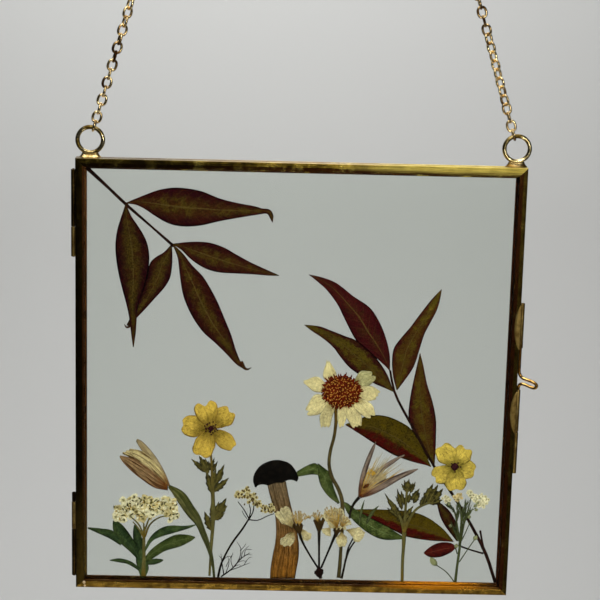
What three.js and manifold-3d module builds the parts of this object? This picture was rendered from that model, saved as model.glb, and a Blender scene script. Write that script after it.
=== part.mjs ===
// A hanging brass frame of two hinged leaves with pressed flowers between its panes.
//
// Units are millimetres, +Z is up, +X is to the right and the front faces -Y.
// Everything is drawn from the middle of the frame, on the plane where its two
// leaves meet. The finished group is then moved so that the origin is the point
// midway between the two chain end rings, which the frame hangs from.

import * as THREE from "three";
import { mergeVertices } from "three/addons/utils/BufferGeometryUtils.js";
import Module from "manifold-3d";

const wasm = await Module();
wasm.setup();

// ---------------------------------------------------------------- driving sizes

const FRAME_SIDE = 203;
const HALF_SIDE = FRAME_SIDE / 2;
const BAR_FACE = 4;
const LEAF_DEPTH = 3.5;
const LEAF_GAP = 0.1; // from the meeting plane to each leaf
const MITRE_GAP = 0.05;

const LIP = 0.7; // thickness of the channel's two lips
const CHANNEL_WALL = 1;
const CORNER_CUT = 0.6; // folded corner beside the hinge and the bolt
const PANE_THICKNESS = 1.9;
const PANE_CLEARANCE = 0.15;

const TUBE_RADIUS = 1.1;
const TUBE_BORE = 0.65;
const TUBE_SIDES = 12;
const HINGE_X = -HALF_SIDE - 1.1;
const LATCH_X = HALF_SIDE + 1;
const PIN_RADIUS = 0.57;
const WEB_THICKNESS = 0.3;
const WEB_GAP = 0.12; // from a soldered web to the bar it sits on

const WIRE_RADIUS = 0.68;
const GUIDE_BORE = 0.8;
const GUIDE_TAB_REACH = 3.1; // how far a guide's rounded tab reaches over the bar

const RING_RADIUS = 5.55; // to the middle of the wire
const RING_WIRE = 0.9;
const RING_Z = HALF_SIDE + 8.1;
const RING_X = { left: -95.2, right: 96.6 };
const RING_Y = LEAF_GAP + LEAF_DEPTH / 2; // over the back leaf
const SADDLE_FOOT = 9.4;
const SADDLE_TOP = 6.8;
const SADDLE_HEIGHT = 3.1;
const SADDLE_DEPTH = 3;

const END_RING_RADIUS = 4.6;
const END_RING_WIRE = 0.8;
const END_RING_X = 73;
const END_RING_Z = 186;
const CHAIN_RADIUS = 2.2;
const CHAIN_START = 8.2; // clear of the frame's ring, along the strand
const CHAIN_STOP = 6.4; // clear of the end ring, along the strand

// The view in which the leaflets' outlines are read: its pixels count to the right and
// down from its upper left corner, and its eye stands in front of the frame.
const VIEW_WIDTH = 600;
const VIEW_LENS = 104;
const VIEW_SENSOR = 36; // width of the sensor behind the lens
const VIEW_FROM = [-12.1, -774.2, 202.7];
const VIEW_YAW = -0.94; // degrees, as are the next two
const VIEW_PITCH = -11.99;
const VIEW_ROLL = 1.46;

const SHEET = 0.26; // thickness of a pressed piece
const LAYER_STEP = 0.3; // from one layer of pressed pieces to the next
const MIDDLE_LAYER = 2; // layer 0 is nearest the front pane, layer 4 the back one
const FOOT_Z = -HALF_SIDE + BAR_FACE + 0.3; // where stems stand above the bottom bar

// -------------------------------------------------------------------- materials

const finish = (color, roughness, metalness = 0) =>
  new THREE.MeshStandardMaterial({ color, roughness, metalness });

const brass = finish(0x5a4a22, 0.38, 0.9);
const brightBrass = finish(0x9a7a35, 0.3, 0.9);
const glass = new THREE.MeshStandardMaterial({
  color: 0xdfe8e2,
  roughness: 0.05,
  transparent: true,
  opacity: 0.3,
});
const leafOlive = finish(0x3d3a24, 0.7);
const leafRed = finish(0x5a2420, 0.7);
const leafGreen = finish(0x55632f, 0.75);
const stemBrown = finish(0x4a2c22, 0.8);
const petalCream = finish(0xd9cfae, 0.8);
const petalYellow = finish(0xd9a422, 0.8);
const discBrown = finish(0x6b3524, 0.9);
const lilyBrown = finish(0x8a6238, 0.75);
const capBlack = finish(0x1a1614, 0.85);
const stalkTan = finish(0x9a7f5a, 0.8);
const straw = finish(0x9a8457, 0.75);

// ---------------------------------------------------------------- shape helpers

// The closed solid of a geometry, with its shared corners merged.
function solidOf(geometry) {
  const bare = geometry.clone();
  bare.deleteAttribute("normal");
  bare.deleteAttribute("uv");
  const merged = mergeVertices(bare, 1e-4);
  return new wasm.Manifold(
    new wasm.Mesh({
      numProp: 3,
      vertProperties: Float32Array.from(merged.attributes.position.array),
      triVerts: Uint32Array.from(merged.index.array),
    }),
  );
}

// The geometry of a closed solid.
function geometryOf(solid) {
  const { vertProperties, triVerts } = solid.getMesh();
  const geometry = new THREE.BufferGeometry();
  geometry.setAttribute("position", new THREE.BufferAttribute(vertProperties, 3));
  geometry.setIndex(new THREE.BufferAttribute(triVerts, 1));
  geometry.computeVertexNormals();
  return geometry;
}

const joined = (first, ...rest) =>
  geometryOf(rest.reduce((solid, next) => solid.add(solidOf(next)), solidOf(first)));

function piece(name, geometry, material, [x, y, z] = [0, 0, 0]) {
  const mesh = new THREE.Mesh(geometry, material);
  mesh.name = name;
  mesh.position.set(x, y, z);
  return mesh;
}

const shapeOf = (points) => new THREE.Shape(points.map(([x, y]) => new THREE.Vector2(x, y)));

// An outline in the XZ plane made into a plate whose front face is at y = front.
function plate(points, front, thickness) {
  const geometry = new THREE.ExtrudeGeometry(shapeOf(points), {
    depth: thickness,
    bevelEnabled: false,
    curveSegments: 1,
  });
  geometry.rotateX(Math.PI / 2);
  geometry.translate(0, front + thickness, 0);
  return geometry;
}

// A box between two corners.
function block([x0, y0, z0], [x1, y1, z1]) {
  const geometry = new THREE.BoxGeometry(x1 - x0, y1 - y0, z1 - z0);
  geometry.translate((x0 + x1) / 2, (y0 + y1) / 2, (z0 + z1) / 2);
  return geometry;
}

// An upright tube from z = low to z = high.
function tube(x, y, low, high, outer, bore) {
  const wall = [
    [bore, low],
    [outer, low],
    [outer, high],
    [bore, high],
    [bore, low],
  ].map(([r, z]) => new THREE.Vector2(r, z));
  const geometry = new THREE.LatheGeometry(wall, TUBE_SIDES);
  geometry.rotateX(Math.PI / 2);
  geometry.translate(x, y, 0);
  return geometry;
}

// ----------------------------------------------------------------- frame leaves

// The channel's section for a leaf: [inwards from the outer edge, back from the
// outer face]. The face is a low crown, and the groove is open to the inside.
const CHANNEL = [
  [0, 0.5],
  [0.3, 0.12],
  [1.1, 0],
  [2.9, 0],
  [3.7, 0.12],
  [BAR_FACE, 0.45],
  [BAR_FACE, LIP],
  [CHANNEL_WALL, LIP],
  [CHANNEL_WALL, LEAF_DEPTH - LIP],
  [BAR_FACE, LEAF_DEPTH - LIP],
  [BAR_FACE, LEAF_DEPTH - 0.2],
  [BAR_FACE - 0.2, LEAF_DEPTH],
  [CORNER_CUT, LEAF_DEPTH],
  [0, LEAF_DEPTH - CORNER_CUT],
];

// One mitred bar, as the bottom bar of a leaf: its length runs along X, its
// outer edge is at z = -HALF_SIDE and its face is at the side of y given.
function mitredBar(side) {
  const section = CHANNEL.map(([inward, back]) => [
    inward,
    side * (LEAF_GAP + LEAF_DEPTH - back),
  ]);
  const geometry = new THREE.ExtrudeGeometry(shapeOf(section), {
    depth: FRAME_SIDE,
    bevelEnabled: false,
  });
  const position = geometry.attributes.position;
  for (let i = 0; i < position.count; i += 1) {
    const inward = position.getX(i);
    const depth = position.getY(i);
    const end = position.getZ(i) > HALF_SIDE ? -1 : 1;
    position.setXYZ(i, end * (HALF_SIDE - inward - MITRE_GAP), depth, inward - HALF_SIDE);
  }
  return geometry;
}

const BAR_TURNS = { bottom: 0, right: -Math.PI / 2, top: Math.PI, left: Math.PI / 2 };

function leafBars(leaf, side) {
  return Object.entries(BAR_TURNS).map(([place, turn]) => {
    const geometry = mitredBar(side);
    geometry.rotateY(turn);
    return piece(`${leaf}_bar_${place}`, geometry, brass);
  });
}

function pane(leaf, side) {
  const half = HALF_SIDE - CHANNEL_WALL - PANE_CLEARANCE;
  const middle = side * (LEAF_GAP + LEAF_DEPTH / 2);
  const geometry = new THREE.BoxGeometry(2 * half, PANE_THICKNESS, 2 * half);
  return piece(`${leaf}_pane`, geometry, glass, [0, middle, 0]);
}

// ----------------------------------------------------------------------- hinges

// The hinge tubes and how high each one runs, from the middle of the frame.
const HINGES = {
  upper: { back: [70.2, 96], front: [56.3, 69.9], pin: [56, 96.4] },
  lower: { back: [-96.5, -73.8], front: [-73.5, -60.4], pin: [-96.9, -55.6] },
};
const PIN_CAP = 0.95; // radius of the lower pin's soldered cap

// A tube with the web that solders it to one leaf's outer side.
function sideTube(x, side, low, high, bore) {
  const inner = HALF_SIDE + WEB_GAP;
  const outer = inner + WEB_THICKNESS;
  const [x0, x1] = x < 0 ? [-outer, -inner] : [inner, outer];
  const [y0, y1] = side < 0 ? [-2.6, -0.75] : [0.75, 2.6];
  const web = block([x0, y0, low], [x1, y1, high]);
  return joined(tube(x, 0, low, high, TUBE_RADIUS, bore), web);
}

function hingePin(name, [low, high], capFrom) {
  const profile =
    capFrom === null
      ? [
          [0, low],
          [PIN_RADIUS, low],
          [PIN_RADIUS, high],
          [0, high],
        ]
      : [
          [0, low],
          [PIN_RADIUS, low],
          [PIN_RADIUS, capFrom],
          [PIN_CAP, capFrom],
          [PIN_CAP, high - 0.4],
          [PIN_RADIUS, high],
          [0, high],
        ];
  const geometry = new THREE.LatheGeometry(
    profile.map(([r, z]) => new THREE.Vector2(r, z)),
    TUBE_SIDES,
  );
  geometry.rotateX(Math.PI / 2);
  return piece(name, geometry, brightBrass, [HINGE_X, 0, 0]);
}

function hinge(place) {
  const { back, front, pin } = HINGES[place];
  const capFrom = place === "lower" ? front[1] + 0.3 : null;
  const backTube = sideTube(HINGE_X, 1, ...back, TUBE_BORE);
  const frontTube = sideTube(HINGE_X, -1, ...front, TUBE_BORE);
  return [
    piece(`hinge_${place}_back_tube`, backTube, brass),
    piece(`hinge_${place}_front_tube`, frontTube, brightBrass),
    hingePin(`hinge_${place}_pin`, pin, capFrom),
  ];
}

// ------------------------------------------------------------------------ latch

const GUIDES = { upper: [18, 39], lower: [-21.8, -1.9] };
const KEEPER = [-42, -22.3];

// A rounded tab over the bar's face, as a circular segment beside the outer edge.
function guideTab(low, high) {
  const half = (high - low) / 2;
  const reach = GUIDE_TAB_REACH;
  const radius = (half * half + reach * reach) / (2 * reach);
  const opening = Math.asin(half / radius);
  const outer = HALF_SIDE + WEB_GAP + WEB_THICKNESS;
  const steps = 10;
  const arc = Array.from({ length: steps + 1 }, (_, i) => {
    const turn = opening * (1 - (2 * i) / steps);
    const x = HALF_SIDE - reach + radius * (1 - Math.cos(turn));
    return [x, (low + high) / 2 + radius * Math.sin(turn)];
  });
  const front = -(LEAF_GAP + LEAF_DEPTH + WEB_GAP + WEB_THICKNESS);
  return plate([...arc, [outer, low], [outer, high]], front, WEB_THICKNESS);
}

function latchGuide(place) {
  const [low, high] = GUIDES[place];
  const inner = HALF_SIDE + WEB_GAP;
  const front = -(LEAF_GAP + LEAF_DEPTH + WEB_GAP + WEB_THICKNESS);
  const web = block([inner, front, low], [inner + WEB_THICKNESS, -0.75, high]);
  const body = tube(LATCH_X, 0, low, high, TUBE_RADIUS, GUIDE_BORE);
  return piece(`latch_${place}_guide`, joined(body, web, guideTab(low, high)), brightBrass);
}

const latchKeeper = () =>
  piece("latch_keeper", sideTube(LATCH_X, 1, ...KEEPER, GUIDE_BORE), brass);

// The bolt is one wire: down through the upper guide, out into a U handle, back
// and down through the lower guide into the keeper.
function latchBolt() {
  const route = [
    [LATCH_X, 0, 36],
    [LATCH_X, 0, 22],
    [LATCH_X, 0, 9],
    [LATCH_X + 0.15, -0.05, 6.2],
    [LATCH_X + 1.3, -0.5, 4.2],
    [LATCH_X + 3.4, -1.4, 3.4],
    [LATCH_X + 6.2, -2.6, 2.6],
    [LATCH_X + 7.9, -3.4, 1.3],
    [LATCH_X + 7.2, -3.1, -0.1],
    [LATCH_X + 5, -2.1, 0.2],
    [LATCH_X + 2.6, -1.1, 1],
    [LATCH_X + 0.9, -0.4, 0.9],
    [LATCH_X + 0.1, -0.05, -0.5],
    [LATCH_X, 0, -3],
    [LATCH_X, 0, -14],
    [LATCH_X, 0, -30],
  ].map((at) => new THREE.Vector3(...at));
  const sides = 8;
  const section = Array.from({ length: sides }, (_, i) => {
    const turn = (2 * Math.PI * i) / sides;
    return [WIRE_RADIUS * Math.cos(turn), WIRE_RADIUS * Math.sin(turn)];
  });
  const geometry = new THREE.ExtrudeGeometry(shapeOf(section), {
    extrudePath: new THREE.CatmullRomCurve3(route, false, "chordal"),
    steps: 60,
    bevelEnabled: false,
  });
  return piece("latch_bolt", geometry, brightBrass);
}

// -------------------------------------------------------------- rings and chain

function ringGeometry(radius, wire) {
  const geometry = new THREE.TorusGeometry(radius, wire, 8, 24);
  geometry.rotateX(Math.PI / 2);
  return geometry;
}

const hangingRing = (side) =>
  piece(`ring_${side}`, ringGeometry(RING_RADIUS, RING_WIRE), brightBrass, [
    RING_X[side],
    RING_Y,
    RING_Z,
  ]);

// The solder that holds a ring on the top bar: a mound with the ring let into it.
function ringSaddle(side) {
  const foot = SADDLE_FOOT / 2;
  const top = SADDLE_TOP / 2;
  const base = HALF_SIDE + 0.03;
  const outline = [
    [-foot, base],
    [foot, base],
    [top + 0.4, base + 1],
    [top, base + SADDLE_HEIGHT],
    [-top, base + SADDLE_HEIGHT],
    [-top - 0.4, base + 1],
  ];
  const mound = solidOf(plate(outline, RING_Y - SADDLE_DEPTH / 2, SADDLE_DEPTH));
  const ring = ringGeometry(RING_RADIUS, RING_WIRE + 0.06);
  ring.translate(0, RING_Y, RING_Z);
  const cut = geometryOf(mound.subtract(solidOf(ring)));
  return piece(`ring_saddle_${side}`, cut, brightBrass, [RING_X[side], 0, 0]);
}

const endRing = (side, sign) =>
  piece(`chain_end_ring_${side}`, ringGeometry(END_RING_RADIUS, END_RING_WIRE), brightBrass, [
    sign * END_RING_X,
    RING_Y,
    END_RING_Z,
  ]);

// The outer shape of a strand of links, pulled straight between its two rings.
function chainStrand(side, sign) {
  const low = new THREE.Vector3(RING_X[side], RING_Y, RING_Z);
  const high = new THREE.Vector3(sign * END_RING_X, RING_Y, END_RING_Z);
  const along = high.clone().sub(low).normalize();
  const start = low.clone().addScaledVector(along, CHAIN_START);
  const stop = high.clone().addScaledVector(along, -CHAIN_STOP);
  const geometry = new THREE.CylinderGeometry(
    CHAIN_RADIUS,
    CHAIN_RADIUS,
    start.distanceTo(stop),
    8,
  );
  const mesh = piece(`chain_${side}`, geometry, brightBrass);
  mesh.position.copy(start).lerp(stop, 0.5);
  mesh.quaternion.setFromUnitVectors(new THREE.Vector3(0, 1, 0), along);
  return mesh;
}

// ------------------------------------------------------------- pressed specimens

const pressed = (name, outline, layer, material) =>
  piece(
    name,
    plate(outline, (layer - MIDDLE_LAYER) * LAYER_STEP - SHEET / 2, SHEET),
    material,
  );

// The outline of a strip along a curve, with its half width at each share of its
// length given by a function.
function stripOutline(curve, halfWidth, steps) {
  const left = [];
  const right = [];
  for (let i = 0; i <= steps; i += 1) {
    const share = i / steps;
    const at = curve.getPointAt(share);
    const along = curve.getTangentAt(share);
    const half = halfWidth(share);
    left.push([at.x - along.y * half, at.y + along.x * half]);
    right.unshift([at.x + along.y * half, at.y - along.x * half]);
  }
  return [...left, ...right];
}

const viewTurn = new THREE.Matrix4()
  .makeRotationZ(THREE.MathUtils.degToRad(VIEW_YAW))
  .multiply(new THREE.Matrix4().makeRotationX(THREE.MathUtils.degToRad(90 + VIEW_PITCH)))
  .multiply(new THREE.Matrix4().makeRotationZ(THREE.MathUtils.degToRad(VIEW_ROLL)));

// Where a pixel of the view falls on the plane y = 0, as [x, z].
function seen([right, down]) {
  const scale = VIEW_SENSOR / VIEW_WIDTH;
  const half = VIEW_WIDTH / 2;
  const ray = new THREE.Vector3((right - half) * scale, (half - down) * scale, -VIEW_LENS);
  ray.applyMatrix4(viewTurn);
  const far = -VIEW_FROM[1] / ray.y;
  return [VIEW_FROM[0] + far * ray.x, VIEW_FROM[2] + far * ray.z];
}

// A leaflet between two edges, each a smooth curve through pixels from base to tip.
function leafletOutline(edges) {
  const [there, back] = edges.map((edge) => {
    const places = edge.map((pixel) => new THREE.Vector2(...seen(pixel)));
    return new THREE.SplineCurve(places).getPoints(LEAFLET_STEPS).map(({ x, y }) => [x, y]);
  });
  return [...there, ...back.reverse().slice(1, -1)];
}

// A stem through points, tapering from one width to another.
function stemOutline(points, widthStart, widthEnd) {
  const curve = new THREE.SplineCurve(points.map(([x, z]) => new THREE.Vector2(x, z)));
  const halfWidth = (share) => (widthStart + (widthEnd - widthStart) * share) / 2;
  return stripOutline(curve, halfWidth, 3 * (points.length - 1));
}

// A flower seen from the front, with rounded lobes round its middle.
function lobedOutline([x, z], radius, lobes, depth, turn) {
  const steps = lobes * 8;
  return Array.from({ length: steps }, (_, i) => {
    const angle = (2 * Math.PI * i) / steps;
    const lobe = Math.abs(Math.cos((lobes * (angle - turn)) / 2)) ** 0.6;
    const reach = radius * (1 - depth + depth * lobe);
    return [x + reach * Math.cos(angle), z + reach * Math.sin(angle)];
  });
}

// The two compound leaves, in pixels of the view. Both edges of a leaflet run from its
// base to its tip.
const LEAFLET_STEPS = 12;
const LEFT_COMPOUND = {
  stem: [[88, 168], [107, 186], [126, 204], [150, 225], [172, 244]],
  leaflets: [
    {
      layer: 3,
      edges: [
        [[126, 203], [145.5, 195], [160, 189.5], [174.5, 188], [203, 192], [238.5, 203], [270, 212]],
        [[126, 203], [144, 208], [165.5, 221.5], [188.5, 226.5], [220.5, 220.5], [270, 212]],
      ],
    },
    {
      layer: 1,
      edges: [
        [[126, 204], [117, 231.5], [115.5, 245.5], [119, 274.5], [129, 315.5], [133.5, 347]],
        [[126, 204], [138.5, 226], [148.5, 247.5], [147.5, 274.5], [138.5, 303], [133.5, 347]],
      ],
    },
    {
      layer: 3,
      edges: [
        [[171.5, 244.5], [156.5, 256.5], [148, 270], [143, 290], [126, 327]],
        [[171.5, 244.5], [172, 267], [164.5, 287.5], [147.5, 306.5], [126, 327]],
      ],
    },
    {
      layer: 1,
      edges: [
        [[173, 244], [178, 256.5], [183, 294], [203, 331.5], [224.5, 351.5], [248, 369]],
        [[173, 244], [192, 264.5], [212, 290.5], [225, 319], [236, 349.5], [248, 369]],
      ],
    },
    {
      layer: 3,
      edges: [
        [[173, 244], [199.5, 242], [224.5, 247.5], [247.5, 261], [279, 275.5]],
        [[173, 244], [188.5, 256.5], [208, 269], [238.5, 273.5], [279, 275.5]],
      ],
    },
  ],
};
const RIGHT_COMPOUND = {
  stem: [[390, 370], [394, 392], [417, 437], [434, 467], [467, 518], [483, 551], [494, 581]],
  leaflets: [
    {
      layer: 1,
      edges: [
        [[389.5, 370], [385, 335], [369, 306.5], [353, 295.5], [337, 283], [309, 274.5]],
        [[389.5, 370], [367, 349.5], [351, 331.5], [337, 303], [326, 288.5], [309, 274.5]],
      ],
    },
    {
      layer: 3,
      edges: [
        [[393, 391.5], [378, 361], [356.5, 340.5], [331.5, 330.5], [304.5, 325]],
        [[393, 391.5], [374.5, 383.5], [349.5, 367.5], [333, 347], [304.5, 325]],
      ],
    },
    {
      layer: 4,
      edges: [
        [[397, 390], [392, 360.5], [401, 338.5], [420.5, 313.5], [441.5, 289.5]],
        [[397, 390], [412, 369.5], [419, 351.5], [429.5, 324.5], [441.5, 289.5]],
      ],
    },
    {
      layer: 4,
      edges: [
        [[434, 466.5], [420.5, 448], [408.5, 410.5], [411, 392.5], [420, 353]],
        [[434, 466.5], [436, 437], [432.5, 401.5], [427, 383.5], [420, 353]],
      ],
    },
    {
      layer: 3,
      edges: [
        [[431, 466.5], [412, 430], [388.5, 416.5], [374.5, 415], [345.5, 424.5]],
        [[431, 466.5], [412, 461.5], [394, 455], [376, 444.5], [345.5, 424.5]],
      ],
    },
    {
      layer: 4,
      edges: [
        [[453.5, 541.5], [440.5, 526.5], [417, 513], [385, 509.5], [349, 510]],
        [[453.5, 541.5], [429.5, 540.5], [408, 536.5], [374.5, 519.5], [349, 510]],
      ],
    },
    {
      layer: 3,
      edges: [
        [[457, 541], [449.5, 532], [440.5, 517.5], [436, 499.5]],
        [[457, 541], [456.5, 523], [447.5, 508.5], [436, 499.5]],
      ],
    },
    {
      layer: 3,
      edges: [
        [[455, 542], [447.5, 541.5], [435, 544.5], [423.5, 553]],
        [[455, 542], [449.5, 551.5], [438.5, 557], [428, 557], [423.5, 553]],
      ],
    },
  ],
};
const RED_LEAFLETS = [5, 6, 8];

function compoundLeaf(side, { stem, leaflets }) {
  const name = `compound_leaf_${side}`;
  const stemPiece = pressed(`${name}_stem`, stemOutline(stem.map(seen), 1, 1), 2, stemBrown);
  const leafletPieces = leaflets.map((leaflet, i) => {
    const red = side === "right" && RED_LEAFLETS.includes(i + 1);
    const outline = leafletOutline(leaflet.edges);
    return pressed(`${name}_leaflet_${i + 1}`, outline, leaflet.layer, red ? leafRed : leafOlive);
  });
  return [stemPiece, ...leafletPieces];
}

function mushroom() {
  const cap = [
    [-18.4, -51],
    [-19.2, -47],
    [-17.2, -42],
    [-13.5, -38.9],
    [-9.4, -37.7],
    [-5.6, -38.3],
    [-2, -40.4],
    [0.4, -43],
    [1.9, -45.8],
    [1.6, -48.1],
    [-1, -47.1],
    [-4.9, -49.2],
    [-8, -50.3],
    [-13.8, -49.7],
    [-16.3, -49.8],
  ];
  const stalk = [
    [-12.7, -50.9],
    [-9.6, -60],
    [-8.4, -67.4],
    [-8.4, -74.6],
    [-9.6, -83],
    [-10.3, FOOT_Z],
    [1.8, FOOT_Z],
    [2.9, -88.2],
    [3.4, -82.4],
    [2.3, -75.2],
    [0.1, -66.5],
    [-2, -57.6],
    [-3.9, -50.2],
    [-8, -51],
  ];
  return [
    pressed("mushroom_cap", cap, 2, capBlack),
    pressed("mushroom_stalk", stalk, 2, stalkTan),
  ];
}

function daisy() {
  const rays = lobedOutline([21.2, -6.2], 17.6, 8, 0.25, 0.3);
  const disc = lobedOutline([21.1, -4.1], 8.6, 6, 0.05, 0);
  const stem = [
    [18.5, -14],
    [16.9, -28],
    [16, -36.8],
    [17.4, -44.6],
    [21.1, -55.1],
    [22.9, -68],
    [23.2, -80],
    [22.2, FOOT_Z],
  ];
  const upperLeaf = [
    [21, -57.5],
    [14, -52],
    [8, -46],
    [1.8, -43.2],
    [5, -40],
    [10.5, -39.1],
    [16, -48],
  ];
  const lowerLeaf = [
    [23.8, -57.9],
    [31, -60],
    [39.1, -65.4],
    [48.6, -71.4],
    [52.2, -75.3],
    [43.7, -76.2],
    [31.7, -72.6],
    [26, -66],
  ];
  return [
    pressed("daisy_rays", rays, 1, petalCream),
    pressed("daisy_disc", disc, 0, discBrown),
    pressed("daisy_stem", stemOutline(stem, 1, 1.3), 3, leafGreen),
    pressed("daisy_leaf_upper", upperLeaf, 4, leafGreen),
    pressed("daisy_leaf_lower", lowerLeaf, 3, leafGreen),
  ];
}

function yellowFlowers() {
  const leftStem = [
    [-39.4, -34],
    [-38.9, -47.5],
    [-37.9, -58],
    [-38.2, -71.3],
    [-38.5, -80.3],
    [-36.6, FOOT_Z],
  ];
  const rightSprig = [
    [66.4, -45.5],
    [71, -50],
    [70, -57],
    [62.8, -58],
    [56, -63],
    [53.4, -72],
    [53.4, FOOT_Z],
    [52.2, FOOT_Z],
    [52.2, -72],
    [49, -62],
    [42.7, -54],
    [43.6, -51.6],
    [50, -54],
    [53.3, -45.6],
    [56.4, -53],
    [60.5, -49.5],
  ];
  return [
    pressed("yellow_flower_left", lobedOutline([-40.6, -23.5], 14, 5, 0.3, 0.3), 1, petalYellow),
    pressed("yellow_flower_left_stem", stemOutline(leftStem, 1.6, 1.2), 3, leafGreen),
    pressed("yellow_flower_right", lobedOutline([74.4, -39.6], 12.4, 5, 0.25, 1), 0, petalYellow),
    pressed("yellow_flower_right_sprig", rightSprig, 2, leafGreen),
  ];
}

function lilyBud() {
  const outline = [
    [-59, -53.2],
    [-70, -47],
    [-82.2, -37.6],
    [-79, -34.6],
    [-77.5, -31],
    [-74.3, -29],
    [-67, -37],
    [-58.6, -50.6],
    [-49.8, -57.6],
    [-38.4, -77.4],
    [-35.9, -83.4],
    [-35.6, FOOT_Z],
    [-39, FOOT_Z],
    [-39.6, -84.4],
    [-41.8, -79.6],
    [-53, -60.4],
  ];
  return pressed("lily_bud", outline, 2, lilyBrown);
}

function blossomSpray() {
  const outline = [
    [11, -96.4],
    [10.4, -92],
    [6, -81],
    [-0.6, -81],
    [-7, -74],
    [-9.6, -62],
    [-1, -59.4],
    [8, -62],
    [15, -59.8],
    [22, -60.6],
    [27, -69],
    [35, -70.6],
    [34.8, -77.6],
    [25, -80.8],
    [18, -78],
    [15, -91],
    [14.8, -96.4],
  ];
  return pressed("blossom_spray", outline, 0, petalCream);
}

function umbelSprig() {
  const outline = [
    [-35.6, FOOT_Z],
    [-31, -80],
    [-25.6, -72],
    [-28.8, -57],
    [-27.6, -50.4],
    [-15, -50.6],
    [-9.4, -57],
    [-9.6, -66],
    [-18, -66],
    [-20.4, -68],
    [-19.6, -83],
    [-33.4, -95],
    [-34.4, FOOT_Z],
  ];
  return pressed("umbel_sprig", outline, 1, straw);
}

function whiteCluster() {
  const outline = [
    [-71.9, FOOT_Z],
    [-86.9, -89.2],
    [-74, -88],
    [-96.2, -73],
    [-84, -70],
    [-86, -56.4],
    [-70, -55.6],
    [-53.5, -62],
    [-53.4, -69],
    [-46, -71],
    [-46, -77],
    [-62, -88.6],
    [-70.4, -90],
    [-70.5, FOOT_Z],
  ];
  return pressed("white_cluster_sprig", outline, 1, petalCream);
}

function stripedFlower() {
  const outline = [
    [23.2, FOOT_Z],
    [26, -66],
    [30, -55],
    [33, -40],
    [38.2, -26.8],
    [44, -33],
    [51.5, -34],
    [58, -40.4],
    [44, -48],
    [33, -55.4],
    [40, -69],
    [32, -64],
    [27.6, -76],
    [24.6, FOOT_Z],
  ];
  return pressed("striped_flower", outline, 2, straw);
}

function smallWhiteSprig() {
  const outline = [
    [77.6, FOOT_Z],
    [66.2, -88],
    [66.8, -86],
    [77.6, -86],
    [74, -62],
    [70.6, -60],
    [70.8, -53],
    [90.4, -53],
    [90.6, -61],
    [82, -63],
    [82.4, -74],
    [87.6, -73.4],
    [85.6, -76.4],
    [81.6, -78],
    [78.9, FOOT_Z],
  ];
  return pressed("small_white_sprig", outline, 0, petalCream);
}

// --------------------------------------------------------------------- assembly

const frame = new THREE.Group();
frame.add(
  ...leafBars("back", 1),
  pane("back", 1),
  ...leafBars("front", -1),
  pane("front", -1),
  ...hinge("upper"),
  ...hinge("lower"),
  latchGuide("upper"),
  latchGuide("lower"),
  latchKeeper(),
  latchBolt(),
);
for (const [side, sign] of [
  ["left", -1],
  ["right", 1],
]) {
  frame.add(hangingRing(side), ringSaddle(side), chainStrand(side, sign), endRing(side, sign));
}
frame.add(
  ...compoundLeaf("left", LEFT_COMPOUND),
  ...compoundLeaf("right", RIGHT_COMPOUND),
  ...mushroom(),
  ...daisy(),
  ...yellowFlowers(),
  lilyBud(),
  blossomSpray(),
  umbelSprig(),
  whiteCluster(),
  stripedFlower(),
  smallWhiteSprig(),
);
frame.position.set(0, -RING_Y, -END_RING_Z);

const part = new THREE.Group();
part.add(frame);
part.updateMatrixWorld(true);

export default part;
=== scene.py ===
# %% [markdown]
# # A hanging frame of pressed flowers
# Two square leaves of folded brass, hinged on the left, each hold a pane. Dried
# leaves, flowers and a mushroom lie between the panes, and two short chains hold
# the frame up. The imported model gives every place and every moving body, and this
# script makes the shapes and finishes that are seen.

from math import pi, radians

import bpy
import numpy as np
from mathutils import Matrix, Vector


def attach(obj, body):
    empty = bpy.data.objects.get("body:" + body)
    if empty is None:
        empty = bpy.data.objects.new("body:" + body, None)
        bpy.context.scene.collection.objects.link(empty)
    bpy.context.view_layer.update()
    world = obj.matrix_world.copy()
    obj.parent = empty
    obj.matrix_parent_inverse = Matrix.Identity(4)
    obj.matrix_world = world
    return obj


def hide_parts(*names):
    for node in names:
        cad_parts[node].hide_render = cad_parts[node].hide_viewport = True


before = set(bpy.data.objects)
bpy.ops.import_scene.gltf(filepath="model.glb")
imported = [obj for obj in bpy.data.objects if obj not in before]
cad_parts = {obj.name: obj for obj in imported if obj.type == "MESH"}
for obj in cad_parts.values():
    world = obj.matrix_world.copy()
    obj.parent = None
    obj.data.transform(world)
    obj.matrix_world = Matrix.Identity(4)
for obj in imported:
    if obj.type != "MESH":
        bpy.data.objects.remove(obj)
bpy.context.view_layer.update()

# %% [markdown]
# ## Where things are
# All sizes below are in millimetres, measured from the middle of the frame, on the
# plane where its two leaves meet: +X to the right, +Z up, the front towards -Y. The
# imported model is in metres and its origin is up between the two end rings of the
# chain, so each mesh is moved there once, when it is made.

# %% Places and the repeatable random draw
MIDDLE = np.array([0.0, -1.85, -186.0])
draw = np.random.default_rng(12)


def to_metres(points):
    """(millimetres from the frame's middle + MIDDLE) / 1000."""
    return (np.asarray(points, float) + MIDDLE) / 1000


# %% [markdown]
# ## The camera
# It stands about 77 cm in front of the frame and 20 cm above its middle, looks down
# by 12 degrees and leans by one and a half. A long lens keeps the frame's sides
# nearly parallel.

# %% Camera
CAMERA_PLACE = (-12.1, -774.2, 202.7)
CAMERA_YAW = -0.94
CAMERA_PITCH = -11.99
CAMERA_ROLL = 1.46
CAMERA_LENS = 104.0

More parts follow.
